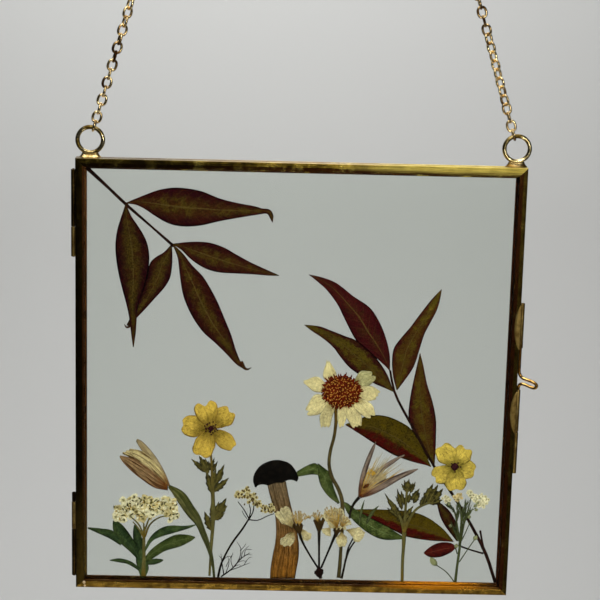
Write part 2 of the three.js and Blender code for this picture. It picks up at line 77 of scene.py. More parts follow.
camera = bpy.data.objects.new("camera", bpy.data.cameras.new("camera"))
camera.data.lens = CAMERA_LENS
camera_turn = (
    Matrix.Rotation(radians(CAMERA_YAW), 3, "Z")
    @ Matrix.Rotation(radians(90 + CAMERA_PITCH), 3, "X")
    @ Matrix.Rotation(radians(CAMERA_ROLL), 3, "Z")
)
camera.matrix_world = Matrix.Translation(to_metres(CAMERA_PLACE)) @ camera_turn.to_4x4()
bpy.context.scene.collection.objects.link(camera)
bpy.context.scene.camera = camera
print("camera at", [round(x, 3) for x in camera.location])

# %% [markdown]
# ## Surfaces from numbers
# Every new piece is one of two kinds of surface, worked out as a whole array. A
# *sheet* is a grid of points with a little thickness, for leaves and petals. A
# *tube* is a ring of points carried along a path, for wires, stems and stamens. Both
# are closed, and both carry a "grain" value at each point: how far across it is, how
# far along, and a tint of its own. The finishes read it to follow the shape.


# %% Faces of a grid, and bodies that face outwards
def stacked(x, y, z):
    """Points from three numbers or arrays, each repeated to the shape they share."""
    return np.stack(np.broadcast_arrays(x, y, z), -1)


def grid_faces(rows, columns, wrapped=False):
    """The four corner numbers of each face between neighbouring rows and columns."""
    number = np.arange(rows * columns).reshape(rows, columns)
    if wrapped:
        number = np.hstack([number, number[:, :1]])
    corners = [number[:-1, :-1], number[:-1, 1:], number[1:, 1:], number[1:, :-1]]
    return np.stack(corners, -1).reshape(-1, 4)


def closed_body(points, faces, grain, finish, caps=()):
    """A closed surface's arrays, turned to face outwards: the volume, summed over its
    faces as corner . (corner x corner) / 6, has to be positive."""
    middle = points.mean(0)
    a, b, c, d = (points[faces[:, i]] - middle for i in range(4))
    volume = (a * np.cross(b, c)).sum() + (a * np.cross(c, d)).sum()
    for cap in caps:
        edge = points[cap] - middle
        volume += (edge[0] * np.cross(edge[1:-1], edge[2:])).sum()
    if volume < 0:
        faces = faces[:, ::-1]
        caps = [cap[::-1] for cap in caps]
    return {"points": points, "faces": faces, "caps": caps, "grain": grain, "finish": finish}


# %% Sheets
def sheet(grid, thickness, tint=0.0, finish=0):
    """A thin body: each point of the grid moved by half the thickness towards the
    front and the back. The thickness falls to nothing at the grid's edge, where the
    two faces share their points."""
    rows, columns = grid.shape[:2]
    across = np.broadcast_to(np.linspace(-1, 1, columns)[None, :], (rows, columns))
    along = np.broadcast_to(np.linspace(0, 1, rows)[:, None], (rows, columns))
    swell = np.sqrt(1 - across**2) * np.sqrt(1 - (2 * along - 1) ** 8)
    shift = np.zeros_like(grid)
    shift[..., 1] = thickness / 2 * swell
    front, back = grid - shift, grid + shift
    number = np.arange(rows * columns).reshape(rows, columns)
    behind = number + rows * columns
    behind[[0, -1]] = number[[0, -1]]
    behind[:, [0, -1]] = number[:, [0, -1]]
    near = grid_faces(rows, columns)
    faces = np.vstack([near, behind.ravel()[near][:, ::-1]])
    points = np.vstack([front.reshape(-1, 3), back.reshape(-1, 3)])
    grain = np.stack([across, along, np.full_like(across, tint)], -1).reshape(-1, 3)
    used, faces = np.unique(faces, return_inverse=True)
    return closed_body(
        points[used], faces.reshape(-1, 4), np.vstack([grain, grain])[used], finish
    )


# %% Curves and tubes
def curve(points, count=24):
    """count evenly spaced points on the Catmull-Rom curve through the given points:
    each stretch is half of 2 b + (c - a) t + (2 a - 5 b + 4 c - d) t^2
    + (3 b - a - 3 c + d) t^3, from b to c, with a before and d after them."""
    given = np.asarray(points, float)
    ends = [2 * given[0] - given[1]], [2 * given[-1] - given[-2]]
    given = np.vstack([ends[0], given, ends[1]])
    reach = np.linspace(0, len(given) - 3, 12 * len(given))
    stretch = np.minimum(reach.astype(int), len(given) - 4)
    t = (reach - stretch)[:, None]
    a, b, c, d = (given[stretch + i] for i in range(4))
    fine = 0.5 * (
        2 * b
        + (c - a) * t
        + (2 * a - 5 * b + 4 * c - d) * t**2
        + (3 * b - a - 3 * c + d) * t**3
    )
    run = np.concatenate([[0], np.cumsum(np.linalg.norm(np.diff(fine, axis=0), axis=1))])
    even = np.linspace(0, run[-1], count)
    return np.stack([np.interp(even, run, fine[:, i]) for i in range(fine.shape[1])], -1)


def unit(vectors):
    """Each vector divided by its own length."""
    return vectors / np.maximum(np.linalg.norm(vectors, axis=-1, keepdims=True), 1e-12)


def tube(path, radius, sides=8, flat=1.0, normal=(0, 1, 0), ring=False, tint=0.0, finish=0):
    """path + radius * (cos a * side + flat * sin a * depth), where side is square to
    the path and to normal, and depth is square to both. ring joins the last row to
    the first, and otherwise each end gets a cap."""
    path = np.asarray(path, float)
    if ring:
        ahead = unit(np.roll(path, -1, 0) - np.roll(path, 1, 0))
    else:
        ahead = unit(np.gradient(path, axis=0))
    side = unit(np.cross(ahead, np.broadcast_to(normal, path.shape)))
    depth = np.cross(side, ahead)
    turn = np.linspace(0, 2 * pi, sides, endpoint=False)
    round_ = np.cos(turn)[None, :, None] * side[:, None]
    round_ = round_ + flat * np.sin(turn)[None, :, None] * depth[:, None]
    radius = np.broadcast_to(radius, len(path))[:, None, None]
    points = (path[:, None] + radius * round_).reshape(-1, 3)
    faces = grid_faces(len(path) + ring, sides, wrapped=True) % len(points)
    last = len(points) - sides
    caps = [] if ring else [list(range(sides))[::-1], list(range(last, last + sides))]
    along = np.repeat(np.linspace(0, 1, len(path)), sides)
    grain = np.stack([np.tile(np.cos(turn), len(path)), along, np.full_like(along, tint)], -1)
    return closed_body(points, faces, grain, finish, caps)


# %% One mesh object from several bodies
def make_piece(name, bodies, finishes, node=None, rides_on="back_leaf", creased=None):
    """Puts closed bodies into one mesh, in metres, with its grain and finishes."""
    starts = np.cumsum([0] + [len(b["points"]) for b in bodies[:-1]])
    faces, slots = [], []
    for start, body in zip(starts, bodies):
        own = (body["faces"] + start).tolist()
        own += [[corner + int(start) for corner in cap] for cap in body["caps"]]
        faces += own
        slots += [body["finish"]] * len(own)
    mesh = bpy.data.meshes.new(name)
    mesh.from_pydata(to_metres(np.vstack([b["points"] for b in bodies])), [], faces)
    mesh.polygons.foreach_set("material_index", slots)
    mesh.polygons.foreach_set("use_smooth", [True] * len(faces))
    grain = mesh.attributes.new("grain", "FLOAT_VECTOR", "POINT")
    grain.data.foreach_set("vector", np.vstack([b["grain"] for b in bodies]).ravel())
    for finish in finishes:
        mesh.materials.append(finish)
    if creased:
        mesh.set_sharp_from_angle(angle=radians(creased))
    piece = bpy.data.objects.new(name, mesh)
    bpy.context.scene.collection.objects.link(piece)
    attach(piece, rides_on)
    if node:
        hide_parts(node)
    return piece


# %% [markdown]
# ## Helpers for finishes
# A finish is a node tree. These short helpers add a node and wire it in one line: a
# value that is another node's output becomes a link, and anything else is set on the
# socket itself.


# %% Node helpers
def colour(text):
    """A linear RGBA colour from a six-figure hexadecimal sRGB one."""
    srgb = np.array([int(text[i : i + 2], 16) / 255 for i in (0, 2, 4)])
    linear = np.where(srgb <= 0.04045, srgb / 12.92, ((srgb + 0.055) / 1.055) ** 2.4)
    return (*linear.tolist(), 1.0)


def add(tree, kind, inputs=None, **settings):
    """A new shader node, with its inputs linked or set and its settings set."""
    node = tree.nodes.new("ShaderNode" + kind)
    for name, value in settings.items():
        setattr(node, name, value)
    for name, value in (inputs or {}).items():
        if isinstance(value, bpy.types.NodeSocket):
            tree.links.new(value, node.inputs[name])
        else:
            node.inputs[name].default_value = value
    return node


def maths(tree, operation, a, b=0.0, c=0.0, clamp=False):
    """The result of one operation on up to three numbers."""
    inputs = {0: a, 1: b, 2: c}
    return add(tree, "Math", inputs, operation=operation, use_clamp=clamp).outputs[0]


def ease(tree, value, low, high):
    """0 below low, 1 above high and a smooth step between."""
    inputs = {"Value": value, "From Min": low, "From Max": high}
    return add(tree, "MapRange", inputs, interpolation_type="SMOOTHSTEP").outputs[0]


def mixed(tree, share, first, second):
    """The first colour where the share is 0 and the second where it is 1."""
    inputs = {0: share, 6: first, 7: second}
    return add(tree, "Mix", inputs, data_type="RGBA").outputs[2]


def noise(tree, vector, scale, detail=3.0, roughness=0.55):
    """Cloudy noise from 0 to 1 at a vector; scale is in clouds per unit."""
    inputs = {"Vector": vector, "Scale": scale, "Detail": detail, "Roughness": roughness}
    return add(tree, "TexNoise", inputs).outputs["Fac"]


def new_group(name, inputs, outputs):
    """A shader node group, its input sockets by name and its output node's sockets."""
    tree = bpy.data.node_groups.new(name, "ShaderNodeTree")
    for label, value in inputs.items():
        kind = "Float" if isinstance(value, float) else "Color" if len(value) == 4 else "Vector"
        socket = tree.interface.new_socket(
            label, in_out="INPUT", socket_type="NodeSocket" + kind
        )
        socket.default_value = value
    for label, kind in outputs.items():
        tree.interface.new_socket(label, in_out="OUTPUT", socket_type="NodeSocket" + kind)
    start = tree.nodes.new("NodeGroupInput")
    end = tree.nodes.new("NodeGroupOutput")
    return tree, start.outputs, end.inputs


def new_finish(name, group, values, bump, **shader):
    """A material: one group placed with its own values, feeding colour, roughness and
    a bump of the given height in metres. The rest is set on the shader."""
    finish = bpy.data.materials.new(name)
    finish.use_nodes = True
    tree = finish.node_tree
    tree.nodes.clear()
    placed = add(tree, "Group", node_tree=group)
    for label, value in values.items():
        placed.inputs[label].default_value = value
    where = add(tree, "TexCoord").outputs["Object"]
    tree.links.new(where, placed.inputs["Place"])
    grain = add(tree, "Attribute", attribute_name="grain").outputs["Vector"]
    tree.links.new(grain, placed.inputs["Grain"])
    relief = add(tree, "Bump", {"Height": placed.outputs["Height"], "Distance": bump})
    body = add(
        tree,
        "BsdfPrincipled",
        {
            "Base Color": placed.outputs["Colour"],
            "Roughness": placed.outputs["Roughness"],
            "Normal": relief.outputs[0],
            **shader,
        },
    )
    end = add(tree, "OutputMaterial")
    tree.links.new(body.outputs[0], end.inputs["Surface"])
    return finish


# %% [markdown]
# ## Old brass
# The bars are folded from brass strip, left to go dark and then polished by rubbing, so the colour
# runs from brown tarnish to olive and gold in streaks along the metal. One group
# makes it: two sizes of cloudy noise choose between three colours, and where the metal
# is darker it is rougher too. Light and shade are painted into it as well: a lighter
# band over the outer edge that is partly wear and partly painted highlight, painted
# shade on the inner half of each face and in its channel, a streaked gold painted
# highlight about one place, and a patch of its own colour about another place, which
# is painted shade on one bar and painted light on others.

# %% The brass group
brass_group, g, out = new_group(
    "old brass",
    {
        "Place": (0.0, 0.0, 0.0),
        "Grain": (0.0, 0.0, 0.0),
        "Tarnish": colour("241a06"),
        "Olive": colour("7c6622"),
        "Gold": colour("e0c46c"),
        "Gold Share": 0.16,
        "Streaks": 1.2,
        "Gloss": 0.22,
        "Inner": colour("34160a"),
        "Inner Start": 11.38,
        "Worn": colour("b48c48"),
        "Rubbed Place": (0.0, 1.0, 0.0),
        "Rubbed Reach": (0.001, 0.001, 0.001),
        "Patch": colour("a0640f"),
        "Patch Place": (0.0, 1.0, 0.0),
        "Patch Reach": (0.001, 0.001, 0.001),
    },
    {"Colour": "Color", "Roughness": "Float", "Height": "Float"},
)


def share_near(centre, reach):
    """1 at a centre, falling to 0 on an oval as large as the reach."""
    away = add(brass_group, "VectorMath", {0: g["Place"], 1: centre}, operation="SUBTRACT")
    away = add(brass_group, "VectorMath", {0: away.outputs[0], 1: reach}, operation="DIVIDE")
    away = add(brass_group, "VectorMath", {0: away.outputs[0]}, operation="LENGTH")
    return maths(brass_group, "SUBTRACT", 1.0, ease(brass_group, away.outputs["Value"], 0.3, 1.0))


cloud = noise(brass_group, g["Place"], 160.0, 5.0, 0.62)
split = add(brass_group, "SeparateXYZ", {0: g["Grain"]}).outputs
streak_place = add(
    brass_group,
    "CombineXYZ",
    {
        0: maths(brass_group, "MULTIPLY", split[0], 30.0),
        1: maths(brass_group, "MULTIPLY", split[1], 1.8),
        2: split[2],
    },
).outputs[0]
streak = noise(brass_group, streak_place, 1.6, 6.0, 0.62)
streak = maths(brass_group, "MULTIPLY", maths(brass_group, "SUBTRACT", streak, 0.5), g["Streaks"])
blend = maths(brass_group, "ADD", cloud, streak)
fine = noise(brass_group, g["Place"], 1400.0, 2.0)
olive_share = ease(brass_group, blend, 0.34, 0.6)
gold_share = ease(brass_group, maths(brass_group, "ADD", blend, g["Gold Share"]), 0.74, 0.98)
metal = mixed(brass_group, olive_share, g["Tarnish"], g["Olive"])
# From the ridge inwards, the face, the lips and the channel turn to the Inner red-brown: painted
# shade of the channel.
inside = maths(brass_group, "SUBTRACT", split[0], g["Inner Start"])
inside = maths(brass_group, "MULTIPLY", ease(brass_group, inside, 0.0, 0.12), 0.9)
metal = mixed(brass_group, inside, metal, g["Inner"])
# Wear and painted highlight: a lighter band over the outer wall and its rounded edge.
worn = ease(brass_group, split[0], 9.5, 9.9)
worn = maths(brass_group, "SUBTRACT", worn, ease(brass_group, split[0], 10.6, 10.8))
metal = mixed(brass_group, maths(brass_group, "MULTIPLY", worn, 0.6), metal, g["Worn"])
# Painted highlight: streaked gold about one place, fading towards the inner side, and rougher there
# to catch the lamps.
rubbed = share_near(g["Rubbed Place"], g["Rubbed Reach"])
mottle = maths(brass_group, "MULTIPLY_ADD", streak, 4.5, 0.8)
lower = maths(brass_group, "MULTIPLY", ease(brass_group, split[0], 11.5, 12.0), 0.7)
rubbed = maths(
    brass_group, "MULTIPLY", rubbed, maths(brass_group, "SUBTRACT", mottle, lower), clamp=True
)
gold_share = maths(brass_group, "MAXIMUM", gold_share, rubbed)
metal = mixed(brass_group, gold_share, metal, g["Gold"])
# A patch of its own colour about another place: painted shade on the top bar, painted light on the
# left and bottom bars.
patch = maths(brass_group, "MULTIPLY", share_near(g["Patch Place"], g["Patch Reach"]), 0.88)
metal = mixed(brass_group, patch, metal, g["Patch"])
brass_group.links.new(metal, out["Colour"])
dull = maths(
    brass_group, "MULTIPLY_ADD", maths(brass_group, "SUBTRACT", 1.0, olive_share), 0.2, g["Gloss"]
)
dull = maths(brass_group, "MULTIPLY_ADD", fine, 0.08, dull)
dull = maths(brass_group, "MULTIPLY_ADD", rubbed, 0.3, dull)
brass_group.links.new(dull, out["Roughness"])
height = maths(brass_group, "MULTIPLY_ADD", streak, 1.2, maths(brass_group, "MULTIPLY", fine, 0.25))
brass_group.links.new(height, out["Height"])


# %% The finishes of the brass
def brass(name, bump=0.00003, **values):
    """A brass finish: the group with some of its colours and shares changed."""
    named = {label.replace("_", " ").title(): value for label, value in values.items()}
    named = {k: colour(v) if isinstance(v, str) else v for k, v in named.items()}
    return new_finish(name, brass_group, named, bump, Metallic=1.0)


# Each bar gets its own colours, set by how bright it looks from the camera: the near-black left bar
# and the dark right bar are painted shade, the lighter bottom bar is painted light.
BAR_BRASS = {
    "top": brass(
        "top bar brass",
        0.00006,
        gold="e4cf66",
        worn="c8a868",
        # Painted highlight at the right end of the top bar.
        rubbed_place=(0.085, 0.0, -0.0858),
        rubbed_reach=(0.075, 1.0, 0.0042),
        # Painted shade at the left end of the top bar.
        patch="0c0903",
        patch_place=(-0.085, 0.0, -0.0866),
        patch_reach=(0.1, 1.0, 0.004),
    ),
    "left": brass(
        "left bar brass",
        0.00006,
        # Near-black colours: painted shade.
        tarnish="080502",
        olive="261e06",
        gold_share=0.0,
        inner="4a2c14",
        inner_start=11.8,
        worn="3a2814",
        # Painted light at the lower end of the left bar.
        patch="4a3c18",
        patch_place=(-0.0995, 0.0, -0.286),
        patch_reach=(0.02, 1.0, 0.055),
    ),
    "right": brass(
        "right bar brass",
        0.00006,
        # Dark colours: painted shade.
        tarnish="1e1605",
        olive="54451a",
        gold_share=0.05,
        inner="381a0c",
        worn="a08448",
    ),
    "bottom": brass(
        "bottom bar brass",
        0.00006,
        # Lighter colours: painted light.
        tarnish="4a3612",
        olive="94742e",
        gold_share=0.07,
        inner="2c1206",
        inner_start=11.75,
        worn="a88848",
        # Painted highlight in orange on the inner ledge towards the bottom bar's right end.
        patch="b87414",
        patch_place=(0.067, 0.0, -0.2838),
        patch_reach=(0.032, 1.0, 0.0022),
    ),
}
hinge_brass = brass(
    "hinge brass", 0.00004, tarnish="181006", olive="463618", gold_share=0.05, streaks=0.6
)
guide_brass = brass(
    "guide brass", 0.00005, tarnish="5c4620", olive="988048", gold="d8c488", streaks=0.5, gloss=0.3
)
wire_brass = brass(
    "wire brass",
    tarnish="6a4418",
    olive="c08c40",
    gold="f0cc80",
    gold_share=0.3,
    streaks=0.3,
    gloss=0.12,
)
ring_brass = brass(
    "ring brass",
    tarnish="4c3a12",
    olive="988040",
    gold="fff0c0",
    gold_share=0.3,
    streaks=0.15,
    gloss=0.12,
)
link_brass = brass(
    "link brass",
    tarnish="38200a",
    olive="a8762e",
    gold="ffe8b0",
    gold_share=0.36,
    streaks=0.3,
    gloss=0.1,
)
solder = brass(
    "solder",
    tarnish="5a4018",
    olive="9c7c3c",
    gold="ecd49c",
    gold_share=0.28,
    streaks=0.3,
    gloss=0.2,
)
print("brass finishes made")

# %% [markdown]
# ## The chain
# Each strand is a row of oval wire links, each turned a quarter from the last, pulled
# straight between the ring on the frame and an end ring just above the view. Both
# strands also twist a little, so the same links aren't seen flat all the way up.

# %% Rings and chain links
RING_RADIUS, RING_WIRE = 5.72, 1.0
RING_PLACE = {"left": (-95.2, 1.85, 109.2), "right": (96.6, 1.85, 109.6)}
END_RING_RADIUS, END_RING_WIRE = 4.6, 0.8
END_RING_PLACE = {"left": (-72.65, 1.85, 186.9), "right": (72.75, 1.85, 186.9)}
LINK_HALF_LENGTH, LINK_HALF_WIDTH, LINK_WIRE = 2.36, 1.84, 0.6
LINKS_IN_STRAND = 18
LINK_OVERLAP = 0.45


def wire_ring(place, radius, wire, around=72, sides=16):
    """A torus in the XZ plane: a circle of the radius swept by one of the wire's."""
    turn = np.linspace(0, 2 * pi, around, endpoint=False)
    circle = np.stack([np.sin(turn), np.zeros(around), np.cos(turn)], -1) * radius
    return tube(np.asarray(place) + circle, wire, sides, ring=True)


def link(middle, along, face):
    """An oval ring of wire: middle + (along * length * cos t + side * width * sin t),
    each power 0.86 to square it off a little. face is square to the oval."""
    turn = np.linspace(0, 2 * pi, 28, endpoint=False)
    side = np.cross(along, face)
    lengthways = LINK_HALF_LENGTH * np.sign(np.cos(turn)) * np.abs(np.cos(turn)) ** 0.86
    sideways = LINK_HALF_WIDTH * np.sign(np.sin(turn)) * np.abs(np.sin(turn)) ** 0.86
    path = middle + lengthways[:, None] * along + sideways[:, None] * side
    return tube(path, LINK_WIRE, 8, normal=face, ring=True, tint=draw.uniform(-1, 1))


def strand(side, first_face, twist):
    """Links from inside the frame's ring to inside the end ring, a quarter turn apart,
    with the strand's own twist added as it climbs."""
    low = np.array(RING_PLACE[side])
    high = np.array(END_RING_PLACE[side])
    along = unit(high - low)
    reach = LINK_HALF_LENGTH - LINK_OVERLAP
    start = RING_RADIUS - RING_WIRE + reach
    stop = np.linalg.norm(high - low) - (END_RING_RADIUS - END_RING_WIRE) - reach
    places = np.linspace(start, stop, LINKS_IN_STRAND)
    flat = np.array([0.0, -1.0, 0.0])
    cross = np.cross(along, flat)
    links = []
    for number, far in enumerate(places):
        angle = first_face + number * pi / 2 + twist(number / (LINKS_IN_STRAND - 1))
        face = np.cos(angle) * flat + np.sin(angle) * cross
        links.append(link(low + far * along, along, face))
    print(side, "strand:", len(links), "links,", round(places[1] - places[0], 2), "mm apart")
    return links


def slow_turn(climb):
    """The left strand's twist, which gathers as it climbs."""
    return 0.9 * climb**2


def quarter_turn(climb):
    """The right strand's twist: an eighth of a turn low down and another high up."""
    low_part = np.clip((climb - 0.12) / 0.12, 0, 1)
    high_part = np.clip((climb - 0.66) / 0.12, 0, 1)
    return pi / 4 * (low_part + high_part)


for side, first_face, twist in (
    ("left", pi / 2, slow_turn),
    ("right", pi / 2, quarter_turn),
):
    links = strand(side, first_face, twist)
    make_piece(f"chain_{side}_links", links, [link_brass], f"chain_{side}")
    ring = wire_ring(RING_PLACE[side], RING_RADIUS, RING_WIRE)
    make_piece(f"ring_{side}_wire", [ring], [ring_brass], f"ring_{side}")
    ring = wire_ring(END_RING_PLACE[side], END_RING_RADIUS, END_RING_WIRE, around=56, sides=12)
    make_piece(f"end_ring_{side}_wire", [ring], [ring_brass], f"chain_end_ring_{side}")

# %% [markdown]
# ## The bars
# A bar is a strip folded into a channel: two lips, a groove for the pane between
# them, and a wall outside. Its section is carried along the bar, and each point of it
# stops at the mitre, at half the side less its own distance inwards. The face is two
# shallow slopes that meet at a ridge, so the two halves mirror different parts of the
# room. Slow waves along the bar keep the reflections from being ruled straight.

# %% Bars
HALF_SIDE = 101.5
LEAF_DEPTH, LEAF_GAP = 3.5, 0.1
STEPS_ALONG_BAR = 90
MITRE_GAP = 0.05
FRONT_SECTION = np.array(
    [
        (0.0, 2.9), (0.0, 2.2), (0.0, 1.4), (0.0, 0.8), (0.03, 0.48), (0.1, 0.26), (0.25, 0.15),
        (0.5, 0.11), (1.0, 0.07), (1.5, 0.03), (1.85, 0.01), (2.0, 0.0), (2.15, 0.01), (2.5, 0.04),
        (3.0, 0.09), (3.5, 0.15), (3.8, 0.22), (3.95, 0.38), (4.0, 0.7), (2.5, 0.7), (1.0, 0.7),
        (1.0, 1.75), (1.0, 2.8), (2.5, 2.8), (4.0, 2.8), (4.0, 3.2), (3.92, 3.42), (3.7, 3.5),
        (2.2, 3.5), (0.65, 3.5), (0.5, 3.44), (0.06, 3.0),
    ]
)  # fmt: skip
BACK_SECTION = FRONT_SECTION + np.outer(
    (FRONT_SECTION[:, 0] > 3.5) & (FRONT_SECTION[:, 1] > 2.7), (1.0, 0.0)
)
BAR_TURN = {"bottom": 0, "right": 1, "top": 2, "left": 3}


def bar(place, side):
    """point(i, v) = (v * (half side - inward), depth, inward - half side), turned by
    quarter turns to its own side of the frame; depth waves by a few hundredths."""
    section = BACK_SECTION if side > 0 else FRONT_SECTION
    inward = section[None, :, 0]
    share = np.linspace(-1, 1, STEPS_ALONG_BAR)[:, None]
    length = share * (HALF_SIDE - inward - MITRE_GAP)
    phase = draw.uniform(0, 2 * pi, 4)
    wave = 0.02 * np.sin(length / 11 + phase[0]) + 0.01 * np.sin(length / 4.1 + phase[1])
    wave = wave * np.clip(inward, 0, 1) * (section[None, :, 1] < 0.5)
    depth = side * (LEAF_GAP + LEAF_DEPTH - section[None, :, 1] - wave)
    height = inward - HALF_SIDE
    turn = BAR_TURN[place] * pi / 2
    x = length * np.cos(turn) - height * np.sin(turn)
    z = length * np.sin(turn) + height * np.cos(turn)
    points = stacked(x, depth, z).reshape(-1, 3)
    rows, columns = length.shape
    faces = grid_faces(rows, columns, wrapped=True)
    caps = [list(range(columns))[::-1], list(range(len(points) - columns, len(points)))]
    around = np.broadcast_to(10 + np.linspace(0, 4, columns)[None, :], length.shape).ravel()
    grain = np.stack([around, (length / 40).ravel(), np.full(len(points), phase[2])], -1)
    return closed_body(points, faces, grain, 0, caps)


for leaf, side in (("back", 1), ("front", -1)):
    for place in BAR_TURN:
        make_piece(
            f"{leaf}_{place}_channel",
            [bar(place, side)],
            [BAR_BRASS[place]],
            f"{leaf}_bar_{place}",
            f"{leaf}_leaf",
            creased=35,
        )
print("bars:", 2 * len(BAR_TURN))

# %% [markdown]
# ## Hinges, bolt and solder
# The hinge is thin tube cut into knuckles, soldered in turn to the back and the front
# leaf, with a wire pin. The bolt slides in the same way on the other side.

# %% Hinge tubes, guides and bolt
HINGE_X, BOLT_X = -102.6, 102.5
TUBE_RADIUS = 1.1
PIN_RADIUS, PIN_BORE = 0.57, 0.65
BOLT_RADIUS, BOLT_BORE = 0.76, 0.8


def sleeve(x, low, high, bore):
    """A tube with rounded rims: a closed section turned about a line up Z."""
    rim = 0.12
    wall = np.array(
        [
            (bore, low + rim), (bore + 0.06, low), (TUBE_RADIUS - rim, low),
            (TUBE_RADIUS - 0.03, low + 0.04), (TUBE_RADIUS, low + rim),
            (TUBE_RADIUS, (low + high) / 2), (TUBE_RADIUS, high - rim),
            (TUBE_RADIUS - 0.03, high - 0.04), (TUBE_RADIUS - rim, high), (bore + 0.06, high),
            (bore, high - rim),
        ]
    )  # fmt: skip
    turn = np.linspace(0, 2 * pi, 28, endpoint=False)[:, None]
    radius, height = wall.T
    points = stacked(x + radius * np.cos(turn), radius * np.sin(turn), height).reshape(-1, 3)
    faces = grid_faces(len(turn) + 1, len(wall), wrapped=True) % len(points)
    around = np.repeat(np.cos(turn), len(wall))
    grain = np.stack([around, np.tile(height / 40, len(turn)), np.full(len(points), x)], -1)
    return closed_body(points, faces, grain, 0)


def fillet(x, side, low, high):
    """The solder between a tube and its bar: a concave strip, from the tube's flank to
    the bar's outer wall, thinning to both ends."""
    inward = -np.sign(x)
    share = np.linspace(0, 1, 24)
    thick = 0.55 + 0.3 * np.sin(pi * share) ** 0.5
    depth = side * (1.35 + 0.08 * np.sin(9 * share))
    path = stacked(x + inward * 0.93, depth, low + 0.2 + (high - low - 0.4) * share)
    return tube(path, thick * 0.62, 10, flat=1.5, normal=(0, 1, 0), tint=x)


HINGE_TUBES = {
    "hinge_upper_back_tube": (1, 70.2, 96.0),
    "hinge_upper_front_tube": (-1, 56.3, 69.9),
    "hinge_lower_back_tube": (1, -96.5, -73.8),
    "hinge_lower_front_tube": (-1, -73.5, -60.4),
}
for name, (side, low, high) in HINGE_TUBES.items():
    bodies = [sleeve(HINGE_X, low, high, PIN_BORE), fillet(HINGE_X, side, low, high)]
    metal = hinge_brass if side > 0 else guide_brass
    leaf = "back_leaf" if side > 0 else "front_leaf"
    make_piece(name.replace("tube", "knuckle"), bodies, [metal], name, leaf, creased=50)


def hinge_pin(low, high, cap=None):
    """A wire standing on Z with rounded ends, and a cap from that height up if one is
    given."""
    z = np.array([low, low + 0.02, low + 0.15, high - 0.15, high - 0.02, high])
    radius = PIN_RADIUS * np.array([0.5, 0.75, 1.0, 1.0, 0.75, 0.5])
    if cap:
        z = np.array([low, low + 0.15, cap - 0.05, cap, cap + 0.1, high - 0.5, high - 0.15, high])
        radius = np.array([0.4, PIN_RADIUS, PIN_RADIUS, 0.85, 0.97, 1.0, 0.8, 0.3])
    return tube(stacked(HINGE_X, 0, z), radius, 20)


make_piece("hinge_upper_wire", [hinge_pin(56, 96.4)], [hinge_brass], "hinge_upper_pin")
lower_pin = hinge_pin(-96.9, -55.6, cap=-60.1)
make_piece("hinge_lower_wire", [lower_pin], [hinge_brass], "hinge_lower_pin")

GUIDES = {"latch_upper_guide": (18.0, 39.0), "latch_lower_guide": (-21.8, -1.9)}
KEEPER = (-42, -22.3)
TAB_REACH = 3.1


def guide_tab(low, high):
    """The guide's strap, wrapped round the bar's edge and spread over its face as a
    rounded tab: its reach over the face is TAB_REACH sin(pi s)^0.6 along the guide."""
    share = np.linspace(0, 1, 40)
    reach = TAB_REACH * np.sin(pi * np.clip(share, 0.004, 0.996)) ** 0.6
    wrap = np.linspace(0, 1, 22)[None, :]
    z = (low + (high - low) * share)[:, None]
    turned = np.clip((wrap - 0.35) / 0.25, 0, 1) * pi / 2
    side_part = np.clip(wrap / 0.35, 0, 1)
    face_part = np.clip((wrap - 0.6) / 0.4, 0, 1)
    x = 101.83 - 0.35 * (1 - np.cos(turned)) - face_part * reach[:, None] * 0.87
    y = -0.9 - 2.35 * side_part - 0.42 * np.sin(turned)
    y = y - 0.12 * np.sin(pi * face_part) * (reach[:, None] / TAB_REACH)
    return sheet(stacked(x, y, z), 0.26)


for name, (low, high) in GUIDES.items():
    sleeve_body = sleeve(BOLT_X, low, high, BOLT_BORE)
    bodies = [sleeve_body, guide_tab(low, high), fillet(BOLT_X, -1, low, high)]
    piece_name = name.replace("latch_", "bolt_")
    make_piece(piece_name, bodies, [guide_brass], name, "front_leaf", creased=50)
bodies = [sleeve(BOLT_X, *KEEPER, BOLT_BORE), fillet(BOLT_X, 1, *KEEPER)]
make_piece("bolt_keeper", bodies, [guide_brass], "latch_keeper", creased=50)

BOLT_ROUTE = [
    (0, 0, 36), (0, 0, 22), (0, 0, 9), (0.15, -0.05, 6.2), (1.3, -0.5, 4.2), (3.4, -1.4, 3.4),
    (6.2, -2.6, 2.6), (7.9, -3.4, 1.3), (7.2, -3.1, -0.1), (5, -2.1, 0.2), (2.6, -1.1, 1),
    (0.9, -0.4, 0.9), (0.1, -0.05, -0.5), (0, 0, -3), (0, 0, -14), (0, 0, -30),
]  # fmt: skip
route = curve(np.array(BOLT_ROUTE) + (BOLT_X, 0, 0), 150)
wire = tube(route, BOLT_RADIUS, 16, normal=(0.35, 0.9, 0.1))
make_piece("bolt_wire", [wire], [wire_brass], "latch_bolt", "bolt")


